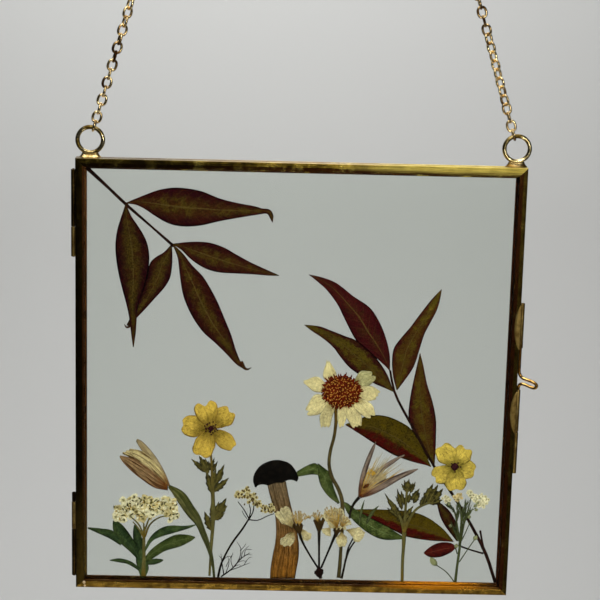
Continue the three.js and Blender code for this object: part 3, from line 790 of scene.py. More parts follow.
def solder_mound(x):
    """The saddle under a ring: a low heap whose half width shrinks from 5.1 to 3.6 as
    it climbs, as 3.6 + 1.5 (1 - h)^2, and whose depth shrinks in the same way."""
    rows, sides, squareness = 12, 36, 0.75
    climb = np.linspace(0, 1, rows)
    half_width = 3.6 + 1.5 * (1 - climb) ** 2
    half_width = half_width * np.where(climb > 0.85, 0.94, 1.0)
    path = stacked(x, 1.85, 101.54 + 2.35 * climb)
    half_depth = half_width * (0.27 + 0.05 * (1 - climb))
    turn = np.linspace(0, 2 * pi, sides, endpoint=False)
    ring_x = np.sign(np.cos(turn)) * np.abs(np.cos(turn)) ** squareness
    ring_y = np.sign(np.sin(turn)) * np.abs(np.sin(turn)) ** squareness
    rings = stacked(half_width[:, None] * ring_x, half_depth[:, None] * ring_y, 0)
    points = (path[:, None] + rings).reshape(-1, 3)
    caps = [list(range(sides))[::-1], list(range(len(points) - sides, len(points)))]
    faces = grid_faces(rows, sides, wrapped=True)
    return closed_body(points, faces, np.zeros_like(points), 0, caps)


for side, place in RING_PLACE.items():
    mound = solder_mound(place[0])
    make_piece(f"solder_{side}", [mound], [solder], f"ring_saddle_{side}", creased=60)


def solder_drop(x, z, radius):
    """A flattened drop of solder on the face of a front bar, with radius sin(pi s)."""
    share = np.linspace(0.03, 0.97, 9)
    face = -LEAF_GAP - LEAF_DEPTH
    path = stacked(x + radius * (2 * share - 1), face, z)
    return tube(path, radius * np.sin(pi * share), 10, flat=0.5)


drops = [solder_drop(-97.6, -98.9, 0.85), solder_drop(-97.3, -100.6, 0.6)]
bright_solder = brass(
    "bright solder",
    tarnish="c8a870",
    olive="dcc08c",
    gold="ffe8c0",
    gold_share=0.5,
    streaks=0.2,
    gloss=0.4,
)
make_piece("solder_drops", drops, [bright_solder], rides_on="front_leaf")

# %% [markdown]
# ## Panes
# Clear float glass, with the faint green that iron gives it, set as a tint of the glass
# colour. Light that falls on what is between the panes passes them as if they weren't
# there, because a path tracer finds its way back through two panes only by luck.

# %% Glass
glass = bpy.data.materials.new("pane glass")
glass.use_nodes = True
tree = glass.node_tree
tree.nodes.clear()
clear = add(
    tree,
    "BsdfPrincipled",
    {
        "Base Color": (0.958, 0.982, 0.958, 1.0),
        "Roughness": 0.0,
        "Transmission Weight": 1.0,
        "IOR": 1.5,
    },
)
open_way = add(tree, "BsdfTransparent", {"Color": (0.97, 0.985, 0.97, 1.0)})
shadow_ray = add(tree, "LightPath").outputs["Is Shadow Ray"]
both = add(tree, "MixShader", {0: shadow_ray, 1: clear.outputs[0], 2: open_way.outputs[0]})
tree.links.new(both.outputs[0], add(tree, "OutputMaterial").inputs["Surface"])
for node in ("back_pane", "front_pane"):
    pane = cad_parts[node]
    pane.data.materials.clear()
    pane.data.materials.append(glass)

# %% [markdown]
# ## Dried plants
# Two groups cover all the plant finishes. Both read the grain. The leaf group goes
# from a centre colour to an edge colour across the blade, lays a midrib and slanting
# side veins on it and breaks it up with blotches, as tissue browns unevenly when it
# dries, and darkens the very rim of the blade with painted shade. The petal group goes
# from a base colour to a tip colour along the blade, with fine stripes that follow it,
# and darkens thin creases with painted shade.


# %% The leaf group
tissue, g, out = new_group(
    "dried leaf",
    {
        "Place": (0.0, 0.0, 0.0),
        "Grain": (0.0, 0.0, 0.0),
        "Centre": colour("382b08"),
        "Edge": colour("200207"),
        "Blotch": colour("2a0b05"),
        "Vein": colour("463818"),
        "Edge Start": 0.18,
        "Lean": 0.0,
        "Blotch Share": 0.75,
        "Blotch Scale": 260.0,
        "Vein Count": 13.0,
        "Vein Slant": 1.6,
        "Vein Strength": 0.16,
        "Midrib": 0.07,
    },
    {"Colour": "Color", "Roughness": "Float", "Height": "Float"},
)
split = add(tissue, "SeparateXYZ", {0: g["Grain"]}).outputs
wide = maths(tissue, "ABSOLUTE", split[0])
soft = noise(tissue, g["Place"], 420.0, 5.0, 0.65)
cloudy = noise(tissue, g["Place"], g["Blotch Scale"], 5.0, 0.62)
fine = noise(tissue, g["Place"], 2100.0, 2.0)
near_edge = maths(tissue, "ADD", wide, maths(tissue, "MULTIPLY_ADD", soft, 1.1, -0.55))
near_edge = maths(tissue, "MULTIPLY_ADD", split[0], g["Lean"], near_edge)
edge_share = ease(tissue, near_edge, g["Edge Start"], 0.78)
body_colour = mixed(tissue, edge_share, g["Centre"], g["Edge"])
tinted = maths(tissue, "MULTIPLY_ADD", split[2], 0.06, cloudy)
patch = maths(tissue, "MULTIPLY", ease(tissue, tinted, 0.44, 0.6), g["Blotch Share"])
body_colour = mixed(tissue, patch, body_colour, g["Blotch"])
slant = maths(tissue, "MULTIPLY", wide, g["Vein Slant"])
vein_place = maths(tissue, "MULTIPLY_ADD", split[1], g["Vein Count"], 0.0)
vein_place = maths(tissue, "SUBTRACT", vein_place, slant)
vein_place = maths(tissue, "MULTIPLY_ADD", soft, 0.5, vein_place)
to_vein = maths(tissue, "PINGPONG", vein_place, 0.5)
side_vein = maths(tissue, "SUBTRACT", 1.0, ease(tissue, to_vein, 0.0, 0.13))
side_vein = maths(tissue, "MULTIPLY", side_vein, g["Vein Strength"])
rib = maths(tissue, "SUBTRACT", 1.0, ease(tissue, wide, 0.0, g["Midrib"]))
lines = maths(tissue, "MAXIMUM", side_vein, rib)
body_colour = mixed(tissue, lines, body_colour, g["Vein"])
speck = maths(tissue, "MULTIPLY_ADD", fine, 2.6, -0.38)
speck = maths(tissue, "MULTIPLY_ADD", split[2], 0.14, speck)
# Painted shade: darker along the very rim of the blade.
speck = maths(tissue, "MULTIPLY_ADD", ease(tissue, wide, 0.86, 1.0), -0.55, speck)
shade = add(tissue, "VectorMath", {0: body_colour, 3: speck}, operation="SCALE").outputs[0]
tissue.links.new(shade, out["Colour"])
tissue.links.new(maths(tissue, "MULTIPLY_ADD", soft, 0.3, 0.45), out["Roughness"])
height = maths(tissue, "MULTIPLY_ADD", fine, 0.4, maths(tissue, "MULTIPLY", cloudy, 0.6))
tissue.links.new(maths(tissue, "MULTIPLY_ADD", lines, 0.5, height), out["Height"])

# %% The petal group
petals, g, out = new_group(
    "dried petal",
    {
        "Place": (0.0, 0.0, 0.0),
        "Grain": (0.0, 0.0, 0.0),
        "Base": colour("8a6a24"),
        "Tip": colour("d9b64a"),
        "Stripe": colour("a9822f"),
        "Rim": colour("e0c878"),
        "Base End": 0.4,
        "Stripe Count": 2.5,
        "Stripe Share": 0.5,
        "Rim Share": 0.3,
        "Crease": 0.4,
        "Grain Scale": 900.0,
    },
    {"Colour": "Color", "Roughness": "Float", "Height": "Float"},
)
split = add(petals, "SeparateXYZ", {0: g["Grain"]}).outputs
stripe_place = add(
    petals,
    "CombineXYZ",
    {
        0: maths(petals, "MULTIPLY", split[0], g["Stripe Count"]),
        1: maths(petals, "MULTIPLY", split[1], 1.7),
        2: maths(petals, "MULTIPLY", split[2], 7.0),
    },
).outputs[0]
stripes = noise(petals, stripe_place, 1.3, 4.0, 0.6)
cloudy = noise(petals, g["Place"], 240.0, 4.0)
fine = noise(petals, g["Place"], g["Grain Scale"], 3.0)
along = maths(petals, "MULTIPLY_ADD", cloudy, 0.3, maths(petals, "SUBTRACT", split[1], 0.15))
body_colour = mixed(petals, ease(petals, along, 0.0, g["Base End"]), g["Base"], g["Tip"])
stripe_share = maths(petals, "MULTIPLY", ease(petals, stripes, 0.42, 0.62), g["Stripe Share"])
body_colour = mixed(petals, stripe_share, body_colour, g["Stripe"])
wide = maths(petals, "ABSOLUTE", split[0])
rim_share = maths(petals, "MULTIPLY", ease(petals, wide, 0.7, 1.0), g["Rim Share"])
body_colour = mixed(petals, rim_share, body_colour, g["Rim"])
crease_place = add(
    petals,
    "CombineXYZ",
    {
        0: maths(petals, "MULTIPLY", split[0], maths(petals, "MULTIPLY", g["Stripe Count"], 1.6)),
        1: maths(petals, "MULTIPLY", split[1], 2.0),
        2: maths(petals, "MULTIPLY", split[2], 5.0),
    },
).outputs[0]
# Painted shade: thin dark creases where the petal is crumpled; the creases also dent the bump.
to_crease = maths(petals, "SUBTRACT", noise(petals, crease_place, 1.9, 2.0), 0.5)
to_crease = maths(petals, "ABSOLUTE", to_crease)
crease = maths(petals, "SUBTRACT", 1.0, ease(petals, to_crease, 0.0, 0.045))
crease = maths(petals, "MULTIPLY", crease, g["Crease"])
speck = maths(petals, "MULTIPLY_ADD", fine, 1.2, -0.1)
speck = maths(petals, "MULTIPLY_ADD", cloudy, 1.0, speck)
speck = maths(petals, "MULTIPLY_ADD", split[2], 0.12, speck)
speck = maths(petals, "MULTIPLY", speck, maths(petals, "SUBTRACT", 1.0, crease))
shade = add(petals, "VectorMath", {0: body_colour, 3: speck}, operation="SCALE").outputs[0]
petals.links.new(shade, out["Colour"])
petals.links.new(maths(petals, "MULTIPLY_ADD", cloudy, 0.3, 0.5), out["Roughness"])
height = maths(petals, "SUBTRACT", maths(petals, "MULTIPLY_ADD", fine, 0.5, stripes), crease)
petals.links.new(height, out["Height"])


# %% Plant finishes
def dried(name, group, bump=0.0001, **values):
    """A plant finish: one of the two groups with some of its values changed."""
    named = {label.replace("_", " ").title(): value for label, value in values.items()}
    named = {k: colour(v) if isinstance(v, str) else float(v) for k, v in named.items()}
    return new_finish(name, group, named, bump, **{"Specular IOR Level": 0.01})


olive_leaf = dried("olive leaf", tissue)
brown_leaf = dried(
    "brown leaf", tissue, centre="43370a", edge="2c070a", blotch="341a06", edge_start=0.42
)
half_red_leaf = dried(
    "half red leaf",
    tissue,
    centre="453806",
    edge="3c0604",
    blotch="2e2406",
    lean=1.0,
    blotch_share=0.6,
    edge_start=0.35,
)
red_leaf = dried(
    "red leaf",
    tissue,
    centre="46100b",
    edge="2c0504",
    blotch="5a1e14",
    vein="6a3626",
    blotch_share=0.4,
)
wine_leaf = dried(
    "wine leaf",
    tissue,
    centre="301a08",
    edge="270307",
    blotch="310809",
    blotch_share=0.8,
    edge_start=0.1,
)
brown_stem = dried(
    "brown stem", tissue, centre="180706", edge="0e0504", blotch="26100b", midrib=0.001
)
green_leaf = dried(
    "green leaf",
    tissue,
    centre="38431d",
    edge="232e10",
    blotch="525a30",
    vein="5c683e",
    blotch_share=0.7,
)
dark_leaf = dried(
    "dark green leaf",
    tissue,
    centre="25331d",
    edge="16220f",
    blotch="3e4c28",
    vein="3d4f30",
    blotch_share=0.7,
)
herb_leaf = dried(
    "herb leaf",
    tissue,
    centre="544c22",
    edge="2a2812",
    blotch="201e0c",
    vein="786c3c",
    blotch_share=1.0,
    blotch_scale=700,
)
green_stem = dried(
    "green stem", petals, base="6b561e", tip="5f5830", stripe="3c3a1c", rim="262410", rim_share=0.7
)
tan_stem = dried(
    "tan stem", petals, base="5e4416", tip="4a4024", stripe="362c18", rim="241c10", rim_share=0.6
)
dark_stem = dried("dark stem", petals, base="120d09", tip="1c1710", stripe="0c0907", rim="2c2618")
yellow_petal = dried(
    "yellow petal",
    petals,
    base="5c4a14",
    tip="b89a40",
    stripe="8c742a",
    rim="9c7430",
    base_end=0.5,
    crease=0.5,
)
pale_yellow_petal = dried(
    "pale yellow petal",
    petals,
    base="5e541a",
    tip="c6ac4c",
    stripe="978434",
    rim="94803a",
    base_end=0.42,
    crease=0.5,
)
cream_petal = dried(
    "cream petal",
    petals,
    base="a08a48",
    tip="cabd8a",
    stripe="a8986a",
    rim="dcd2aa",
    base_end=0.35,
    crease=0.45,
    stripe_count=3.5,
)
# A darker copy of the cream, for the ray that lies over a dark leaf: painted shade.
thin_shaded_petal = dried("thin shaded petal", petals, base="6a6236", tip="a8a274", stripe="7c7648", rim="c0ba8c")
papery_petal = dried(
    "papery petal",
    petals,
    base="86703c",
    tip="c0b48a",
    stripe="8a7c54",
    rim="e0d8b8",
    stripe_count=2,
    crease=0.6,
)
floret_white = dried(
    "floret white", petals, base="8a8450", tip="dcd4b0", stripe="b0a880", rim="f0ecd8"
)
floret_cream = dried(
    "floret cream", petals, base="6a5c24", tip="c2b482", stripe="8c7c48", rim="e0d8b0"
)
golden_anther = dried(
    "golden anther", petals, base="7a5216", tip="b48e34", stripe="8f6a20", rim="c8a452"
)
dark_maroon = dried(
    "dark maroon", petals, base="2a1013", tip="35171a", stripe="1c0a0d", rim="4a2a20"
)
disc_brown = dried("disc brown", petals, base="1a0603", tip="641e08", stripe="380c04", rim="7c3412")
disc_gold = dried("disc gold", petals, base="8a4410", tip="c48c3c", stripe="9c5c1c", rim="d8ac58")
lily_petal = dried(
    "lily petal",
    petals,
    base="7c5a32",
    tip="988866",
    stripe="5c4428",
    rim="4a341c",
    stripe_count=3.4,
    stripe_share=0.7,
    rim_share=0.9,
)
lily_brown = dried(
    "lily brown",
    petals,
    base="6a3c14",
    tip="907450",
    stripe="361606",
    rim="5a2c18",
    stripe_count=3.2,
    stripe_share=1.0,
    rim_share=0.5,
)
lily_cream = dried(
    "lily cream",
    petals,
    base="744e24",
    tip="b8a878",
    stripe="4c3416",
    rim="6a5430",
    stripe_count=2.2,
    stripe_share=1.0,
)
striped_petal = dried(
    "striped petal",
    petals,
    base="74441a",
    tip="807064",
    stripe="36221e",
    rim="4a3430",
    stripe_count=2.6,
    stripe_share=1.0,
    rim_share=0.8,
    base_end=0.5,
)
silky_petal = dried(
    "silky petal", petals, base="80561e", tip="aa9a72", stripe="7c6a48", rim="c0b08c", base_end=0.7
)
grey_herb = dried(
    "grey herb", tissue, centre="454c2c", edge="363c22", blotch="2c341e", vein="5c6444"
)
cap_black = dried(
    "mushroom cap",
    tissue,
    0.0002,
    centre="040302",
    edge="0a0806",
    blotch="120e0a",
    vein="0c0907",
    vein_strength=0.0,
    midrib=0.001,
    blotch_scale=400,
)
stalk_streaks = dried(
    "mushroom stalk",
    petals,
    0.0003,
    base="8a5a1e",
    tip="75644a",
    stripe="34200a",
    rim="2a1808",
    crease=0.6,
    base_end=1.15,
    stripe_count=4.5,
    stripe_share=0.65,
    rim_share=0.5,
)

# %% [markdown]
# ## Shapes of leaves, petals and stems
# Pressed pieces lie in five layers between the panes. Their places are given as
# pixels of the camera's view, and *seen* puts a pixel on the plane between the panes.
# A panel, a lobe, a stem, a feather and a scatter are given in pixels; a leaflet, a
# petal, a hair and a bead are given in places, so a pixel goes through *seen* first.
# Irregular pieces are ruled between two edge curves. A simple leaflet has a midrib
# bowed sideways by two distances, at one and two thirds of the way, and half widths
# of half * sin(pi s^skew)^sharp: skew moves the widest place and sharp draws out the
# tips.

# %% Leaflet, panel, petal, stem and bead
LAYER_STEP, MIDDLE_LAYER = 0.3, 2
VIEW_WIDTH = 600
SENSOR_WIDTH = 36.0


def seen(right, down):
    """The (x, z) at which a pixel of the view, counted to the right and down from its
    upper left corner, falls on the plane y = 0: CAMERA_PLACE + far * ray."""
    scale = SENSOR_WIDTH / VIEW_WIDTH
    from_middle = (right - VIEW_WIDTH / 2, VIEW_WIDTH / 2 - down)
    ray = camera_turn @ Vector((from_middle[0] * scale, from_middle[1] * scale, -CAMERA_LENS))
    far = -CAMERA_PLACE[1] / ray.y
    return CAMERA_PLACE[0] + far * ray.x, CAMERA_PLACE[2] + far * ray.z


def seen_line(pixels):
    """The places of a row of pixels."""
    return [seen(*pixel) for pixel in pixels]


def on_layer(points, layer):
    """(x, z) points put at their layer's depth: 0 is in front and 4 behind."""
    flat = np.asarray(points, float)
    depth = np.full(flat.shape[:-1], (layer - MIDDLE_LAYER) * LAYER_STEP)
    return np.stack([flat[..., 0], depth, flat[..., 1]], -1)


def leaflet(
    base, tip, bow, half, skew, sharp, layer, tint=0.0, finish=0, rows=64, columns=15, jag=0.0
):
    """midrib(s) + u * half width(s) square to it, for u from -1 to 1; jag is the depth
    of four teeth a side."""
    base, tip = np.array(base, float), np.array(tip, float)
    leftward = unit(tip - base)[::-1] * (-1, 1)
    thirds = [base + (tip - base) * k / 3 + leftward * bow[k - 1] for k in (1, 2)]
    rib = curve([base, *thirds, tip], rows)
    share = np.linspace(0, 1, rows)
    swell = np.sin(pi * share**skew) ** sharp
    flutter = 1 + 0.02 * np.sin(41 * share + base[0]) + 0.015 * np.sin(23 * share + tip[0])
    flutter = flutter + jag * ((4.0 * share) % 1 - 0.5)
    ahead = unit(np.gradient(rib, axis=0))
    square = np.stack([-ahead[:, 1], ahead[:, 0]], -1)
    across = np.linspace(-1, 1, columns)[None]
    reach = np.where(across > 0, half[0], half[1]) * across
    width = np.maximum(swell * flutter, 0.02)[:, None] * reach
    grid = on_layer(rib[:, None] + width[..., None] * square[:, None], layer)
    ripple = np.sin(17 * share + base[0])[:, None] * np.cos(2.2 * across + tip[1])
    grid[..., 1] += (0.03 * ripple - 0.03 * (1 - np.abs(across))) * swell[:, None]
    return sheet(grid, 0.1, tint, finish)


def lobe(base, tip, half, layer, tint=0.0, finish=0):
    """A small straight toothed leaflet between two pixels."""
    ends, halves = seen_line([base, tip]), (half, half)
    return leaflet(*ends, (0, 0), halves, 0.8, 1.0, layer, tint, finish, 26, 5, jag=0.55)


def panel(first, second, layer, tint=0.0, finish=0, teeth=0.0, count=3, rows=30, columns=11):
    """first(s) (1 - u) / 2 + second(s) (1 + u) / 2, where first and second are curves
    through the pixels of the two edges, from base to tip; teeth move the far end along
    by teeth |sin(count pi (u + 1) / 2)|, less a half."""
    a, b = (curve(seen_line(edge), rows) for edge in (first, second))
    across = np.linspace(-1, 1, columns)[None, :, None]
    grid = a[:, None] * (1 - across) / 2 + b[:, None] * (1 + across) / 2
    share = np.linspace(0, 1, rows)[:, None, None]
    ahead = unit((a[-1] + b[-1]) - (a[0] + b[0]))
    bite = np.abs(np.sin(count * pi * (across + 1) / 2)) - 0.5
    grid = grid + teeth * share**6 * bite * ahead
    grid = on_layer(grid, layer)
    ripple = np.sin(9 * share[..., 0] + a[0, 0]) * np.cos(2.5 * across[..., 0])
    grid[..., 1] += 0.025 * ripple
    return sheet(grid, 0.1, tint, finish)


def petal(
    centre, tip, half, layer, notch=0.12, tint=0.0, finish=0, lift=0.0, crumple=1.0, rows=20
):
    """A rounded petal. Its half width grows as half (0.1 + 0.9 sin(pi t / 1.2)) up to
    0.6 of the way and then closes as an ellipse does. Points near its axis are drawn
    back by notch t^3 e^(-(x / 0.4 half)^2), which makes the notch at the tip; crumple
    is how uneven its outline is."""
    centre, tip = np.array(centre, float), np.array(tip, float)
    t = 1 - (1 - np.linspace(0, 1, rows)[:, None]) ** 1.7
    u = np.linspace(-1, 1, 13)[None]
    square = unit(tip - centre)[::-1] * (-1, 1)
    opening = 0.1 + 0.9 * np.sin(pi / 1.2 * np.minimum(t, 0.6))
    closing = np.sqrt(np.clip(1 - (np.maximum(t - 0.6, 0) / 0.4) ** 2, 0.0004, 1))
    wobble = 1 + crumple * (0.05 * np.sin(9 * t + tip[0]) + 0.03 * np.sin(17 * t + 2 * tip[1]))
    wide = u * half * opening * closing * wobble
    far = t * (1 - notch * t**3 * np.exp(-((wide / (0.4 * half)) ** 2)))
    flat = centre + far[..., None] * (tip - centre) + wide[..., None] * square
    grid = on_layer(flat, layer)
    grid[..., 1] += lift + 0.02 * np.sin(7 * t + tip[1]) * np.cos(3 * u)
    return sheet(grid, 0.08, tint, finish)


def hair(points, thick, layer, tint=0.0, finish=0, count=24, sides=8):
    """An oval tube along a curve, with half widths given from its start to its end. It
    is pressed flat, to 0.45 of its width or a half thickness of 0.12."""
    radius = np.interp(np.linspace(0, 1, count), np.linspace(0, 1, len(thick)), thick)
    flat = np.minimum(0.45, 0.12 / radius.max())
    path = on_layer(curve(points, count), layer)
    return tube(path, radius, sides, flat, tint=tint, finish=finish)


def stem(pixels, thick, layer, tint=0.0, finish=0, count=24, sides=8):
    """A pressed stem along the curve through a row of pixels."""
    return hair(seen_line(pixels), thick, layer, tint, finish, count, sides)


def bead(place, half_width, half_height, layer, tint=0.0, finish=0, turn=0.0, lift=0.0):
    """A flattened bud: an oval turned in the plane, with radius sin(pi s)."""
    share = np.array([0.02, 0.2, 0.5, 0.8, 0.98])
    ahead = np.array([np.sin(turn), np.cos(turn)])
    path = np.array(place) + (2 * share - 1)[:, None] * half_height * ahead
    path = on_layer(path, layer)
    path[:, 1] += lift
    radius = half_width * np.sin(pi * share)
    flat = min(0.9, 0.12 / half_width)
    return tube(path, radius, 6, flat, tint=tint, finish=finish)


def floret(place, radius, layer, finish=0):
    """Five small round petals about a point, turned by a random angle."""
    count = 5
    start, tint = draw.uniform(0, 2 * pi), draw.uniform(-1, 1)
    bodies = []
    for number in range(count):
        angle = start + number * 2 * pi / count
        tip = np.array(place) + radius * np.array([np.cos(angle), np.sin(angle)])
        tip = place + (tip - np.array(place)) * draw.uniform(0.6, 1.2)
        lift = draw.uniform(-0.08, 0.08)
        half = radius * 0.5
        bodies.append(petal(place, tip, half, layer, 0.0, tint, finish, lift, crumple=5, rows=4))
    return bodies


def feather(base, tip, spread, layer, finish=0):
    """Fine hairs from one pixel to another, each leaning out by up to spread to the
    left or the right in turn."""
    hairs = 11
    base, tip = np.array(seen(*base)), np.array(seen(*tip))
    square = unit(tip - base)[::-1] * (-1, 1)
    bodies = []
    for number in range(hairs):
        start = base + (tip - base) * 0.8 * number / hairs
        lean = spread * (-1) ** number * draw.uniform(0.4, 1.0)
        end = start + (tip - base) * draw.uniform(0.3, 0.5) + lean * square
        middle = (start + end) / 2 + 0.15 * lean * square
        points, thick = [start, middle, end], (0.27, 0.2, 0.08)
        bodies.append(hair(points, thick, layer, finish=finish, count=4, sides=4))
    return bodies


def scatter(outline, count):
    """count places spread over the inside of an oval. It is given as its middle pixel,
    right and down, and its half width and half height in mm: the middle and
    sqrt(n / count) of the way out, turned by 2.4 radians a step, then nudged."""
    right, down, half_x, half_z = outline
    x, z = seen(right, down)
    number = np.arange(count)
    far = np.sqrt((number + 0.5) / count)
    angle = 2.4 * number
    spread = np.stack([x + half_x * far * np.cos(angle), z + half_z * far * np.sin(angle)], -1)
    return spread + draw.normal(0, 0.35, (count, 2))


# %% The two compound leaves
# Each leaflet: its two edges, from base to tip, and its layer.
LEFT_LEAFLETS = [
    (
        [
            (126, 202.5), (145.5, 194.5), (160, 189.5), (174.5, 187.5), (189, 188.5), (203, 191.5),
            (220.5, 198.5), (238.5, 203), (256.5, 206.5), (268, 211),
        ],
        [
            (126, 203.5), (135, 204.5), (144, 208.5), (154.5, 215.5), (165.5, 222), (176, 225.5),
            (188.5, 226.5), (203, 225), (220.5, 221), (243, 217), (268, 213),
        ],
        3,
    ),
    (
        [
            (125.5, 204), (120.5, 219), (117, 231.5), (115.5, 245.5), (116.5, 260), (119, 274.5),
            (122.5, 289), (126, 302), (129, 315.5), (131, 331), (133, 346.5),
        ],
        [
            (126.5, 204), (131.5, 215.5), (138.5, 226), (145, 237), (148.5, 247.5), (149.5, 260),
            (147.5, 274.5), (143.5, 289), (138.5, 303), (137, 318), (136, 332), (134, 346.5),
        ],
        1,
    ),
    (
        [
            (171, 244.5), (164, 252), (156.5, 256.5), (150, 263), (147, 276), (141, 295),
            (126.5, 325),
        ],
        [
            (172, 244.5), (172.5, 256.5), (172, 267), (170, 278), (164.5, 287.5), (156.5, 296.5),
            (147.5, 306.5), (139, 315.5), (128.5, 326),
        ],
        3,
    ),
    (
        [
            (172.5, 244), (177.5, 256.5), (179, 267), (180.5, 279.5), (183, 294), (187.5, 306.5),
            (194, 319), (203, 331.5), (213.5, 341), (224.5, 351.5), (236.5, 364), (245, 369),
        ],
        [
            (173.5, 244), (183, 253), (192, 264.5), (203, 276), (212, 290.5), (219, 304.5),
            (225, 319), (231.5, 335), (236, 349.5), (240.5, 360.5), (245.5, 368),
        ],
        1,
    ),
    (
        [
            (173, 243.5), (186, 242), (199.5, 241.5), (212, 243), (224.5, 247.5), (235, 253.5),
            (247.5, 260.5), (260, 266.5), (270, 271), (279, 275),
        ],
        [
            (173, 244.5), (181.5, 250), (188.5, 257), (197.5, 264), (208, 269.5), (220.5, 272.5),
            (238.5, 273.5), (256.5, 274.5), (268, 275.5), (279, 275.7),
        ],
        3,
    ),
]  # fmt: skip
RIGHT_LEAFLETS = [
    (
        [
            (390, 370), (389.5, 353), (385, 335), (378, 319), (369, 306.5), (353, 295.5),
            (337, 283), (322.5, 277), (309, 274),
        ],
        [
            (389, 370), (385, 365.5), (376, 357.5), (367, 349.5), (356.5, 340.5), (351, 331.5),
            (344, 317.5), (337, 303.5), (326, 289), (313.5, 278), (309, 274.7),
        ],
        1,
    ),
    (
        [
            (393.5, 391), (386, 372), (372, 353), (356.5, 340.5), (345.5, 336), (331.5, 330.5),
            (319, 326), (304.5, 324.5),
        ],
        [
            (392.5, 391.5), (385, 388), (374.5, 383.5), (360, 375), (349.5, 367.5), (340.5, 357),
            (333, 347), (322.5, 338), (312, 331), (304.5, 325.2),
        ],
        3,
    ),
    (
        [
            (396.5, 390), (393, 376), (392, 360.5), (394, 348), (401, 338), (410, 327.5),
            (420.5, 313.5), (431.5, 299.5), (441.3, 289.3),
        ],
        [
            (397.5, 390), (403.5, 382), (412, 370), (416, 361), (419, 351.5), (424, 335.5),
            (429.5, 324.5), (437, 310), (440.5, 297.5), (441.8, 289.6),
        ],
        4,
    ),
    (
        [
            (433.5, 466.5), (420.5, 448), (412, 430), (409, 420), (408.5, 410.5), (411, 392.5),
            (415.5, 371.5), (418, 361), (419.7, 353),
        ],
        [
            (434.5, 466.5), (435.5, 452), (436, 437), (436, 419.5), (432.5, 401.5), (427, 383.5),
            (423.5, 366), (420.3, 353),
        ],
        4,
    ),
    (
        [
            (431, 466), (422, 446), (412, 430), (403, 423), (388.5, 416.5), (374.5, 414.8),
            (362, 417.5), (345.5, 424),
        ],
        [(431, 467), (426, 465), (412, 461.5), (394, 455), (376, 444.5), (360, 434), (345.5, 425)],
        3,
    ),
    (
        [
            (453.5, 541), (447, 533), (440.5, 526.5), (429.5, 518.5), (417, 513), (402, 510.5),
            (385, 509.5), (366, 509), (349, 509.5),
        ],
        [
            (453.5, 542), (447.5, 541.5), (429.5, 540.5), (408, 537), (394, 530.5), (374.5, 520),
            (361, 514), (349, 510.5),
        ],
        4,
    ),
    (
        [(456.5, 541), (449.5, 532), (444.5, 525), (440.5, 517.5), (438, 509), (436, 500)],
        [(457.5, 541), (458.5, 532), (456.5, 523), (452.5, 515), (447.5, 508.5), (436.7, 499.5)],
        3,
    ),
    (
        [
            (455.5, 547), (454, 544.5), (450, 542.5), (442, 542), (434.5, 544), (428, 548),
            (423.5, 552.5),
        ],
        [(455.5, 548), (453, 550.5), (449.5, 553), (440.5, 556.7), (430, 557), (424, 553.5)],
        3,
    ),
]  # fmt: skip
# Each stem: its line and its half widths along it.
LEFT_STEMS = [
    ([(86.5, 167), (107, 186), (126, 204), (150, 225), (174, 246)], (0.95, 0.7, 0.7, 0.5, 0.7))
]
RIGHT_STEMS = [
    (
        [
            (390, 370), (395.5, 394.5), (413.5, 428.5), (434, 466), (452, 493.5), (467.5, 518.5),
            (485, 552), (495, 582),
        ],
        (0.5, 0.6, 0.6, 0.6, 0.7, 0.7, 0.8, 0.75),
    ),
    ([(461, 546), (471, 549.5), (483, 553)], (0.45, 0.4, 0.5)),
    ([(480, 530), (482, 541), (484.5, 553)], (0.5, 0.45, 0.6)),
]  # fmt: skip
REDDER = {
    ("right", 1): wine_leaf, ("right", 2): brown_leaf, ("right", 3): brown_leaf,
    ("right", 4): brown_leaf, ("right", 5): half_red_leaf, ("right", 6): half_red_leaf,
    ("right", 8): red_leaf,
}  # fmt: skip
# Each curled tip: its line, its half widths and its layer.
CURLED_TIPS = {
    ("left", 1): (
        [(262, 210.5), (268, 211.5), (271, 215), (272.5, 222.5)], (1.0, 1.2, 1.0, 0.12), 3
    ),
    ("left", 3): (
        [(131, 323), (129, 326.5), (126.5, 327), (124.3, 324)], (0.6, 0.55, 0.4, 0.12), 3
    ),
    ("left", 4): (
        [(241, 361), (244, 367), (247.5, 368.8), (251.5, 367)], (0.9, 0.9, 0.55, 0.12), 1
    ),
}
for side, leaflets, stems in (
    ("left", LEFT_LEAFLETS, LEFT_STEMS),
    ("right", RIGHT_LEAFLETS, RIGHT_STEMS),
):
    for number, (first, second, depth) in enumerate(leaflets, 1):
        tint = draw.uniform(-1, 1)
        bodies = [panel(first, second, depth, tint, rows=64, columns=15)]
        if (side, number) in CURLED_TIPS:
            bodies.append(stem(*CURLED_TIPS[side, number], tint))
        make_piece(
            f"leaflet_{side}_{number}",
            bodies,
            [REDDER.get((side, number), olive_leaf)],
            f"compound_leaf_{side}_leaflet_{number}",
        )
    bodies = [stem(line, thick, 2) for line, thick in stems]
    make_piece(f"rachis_{side}", bodies, [brown_stem], f"compound_leaf_{side}_stem")
print("leaflets:", len(LEFT_LEAFLETS) + len(RIGHT_LEAFLETS))

# %% [markdown]
# ## The mushroom
# A whole mushroom pressed flat: an almost black cap seen from the side over a thick
# stalk that goes from grey-beige to rusty brown, with fibres along it.

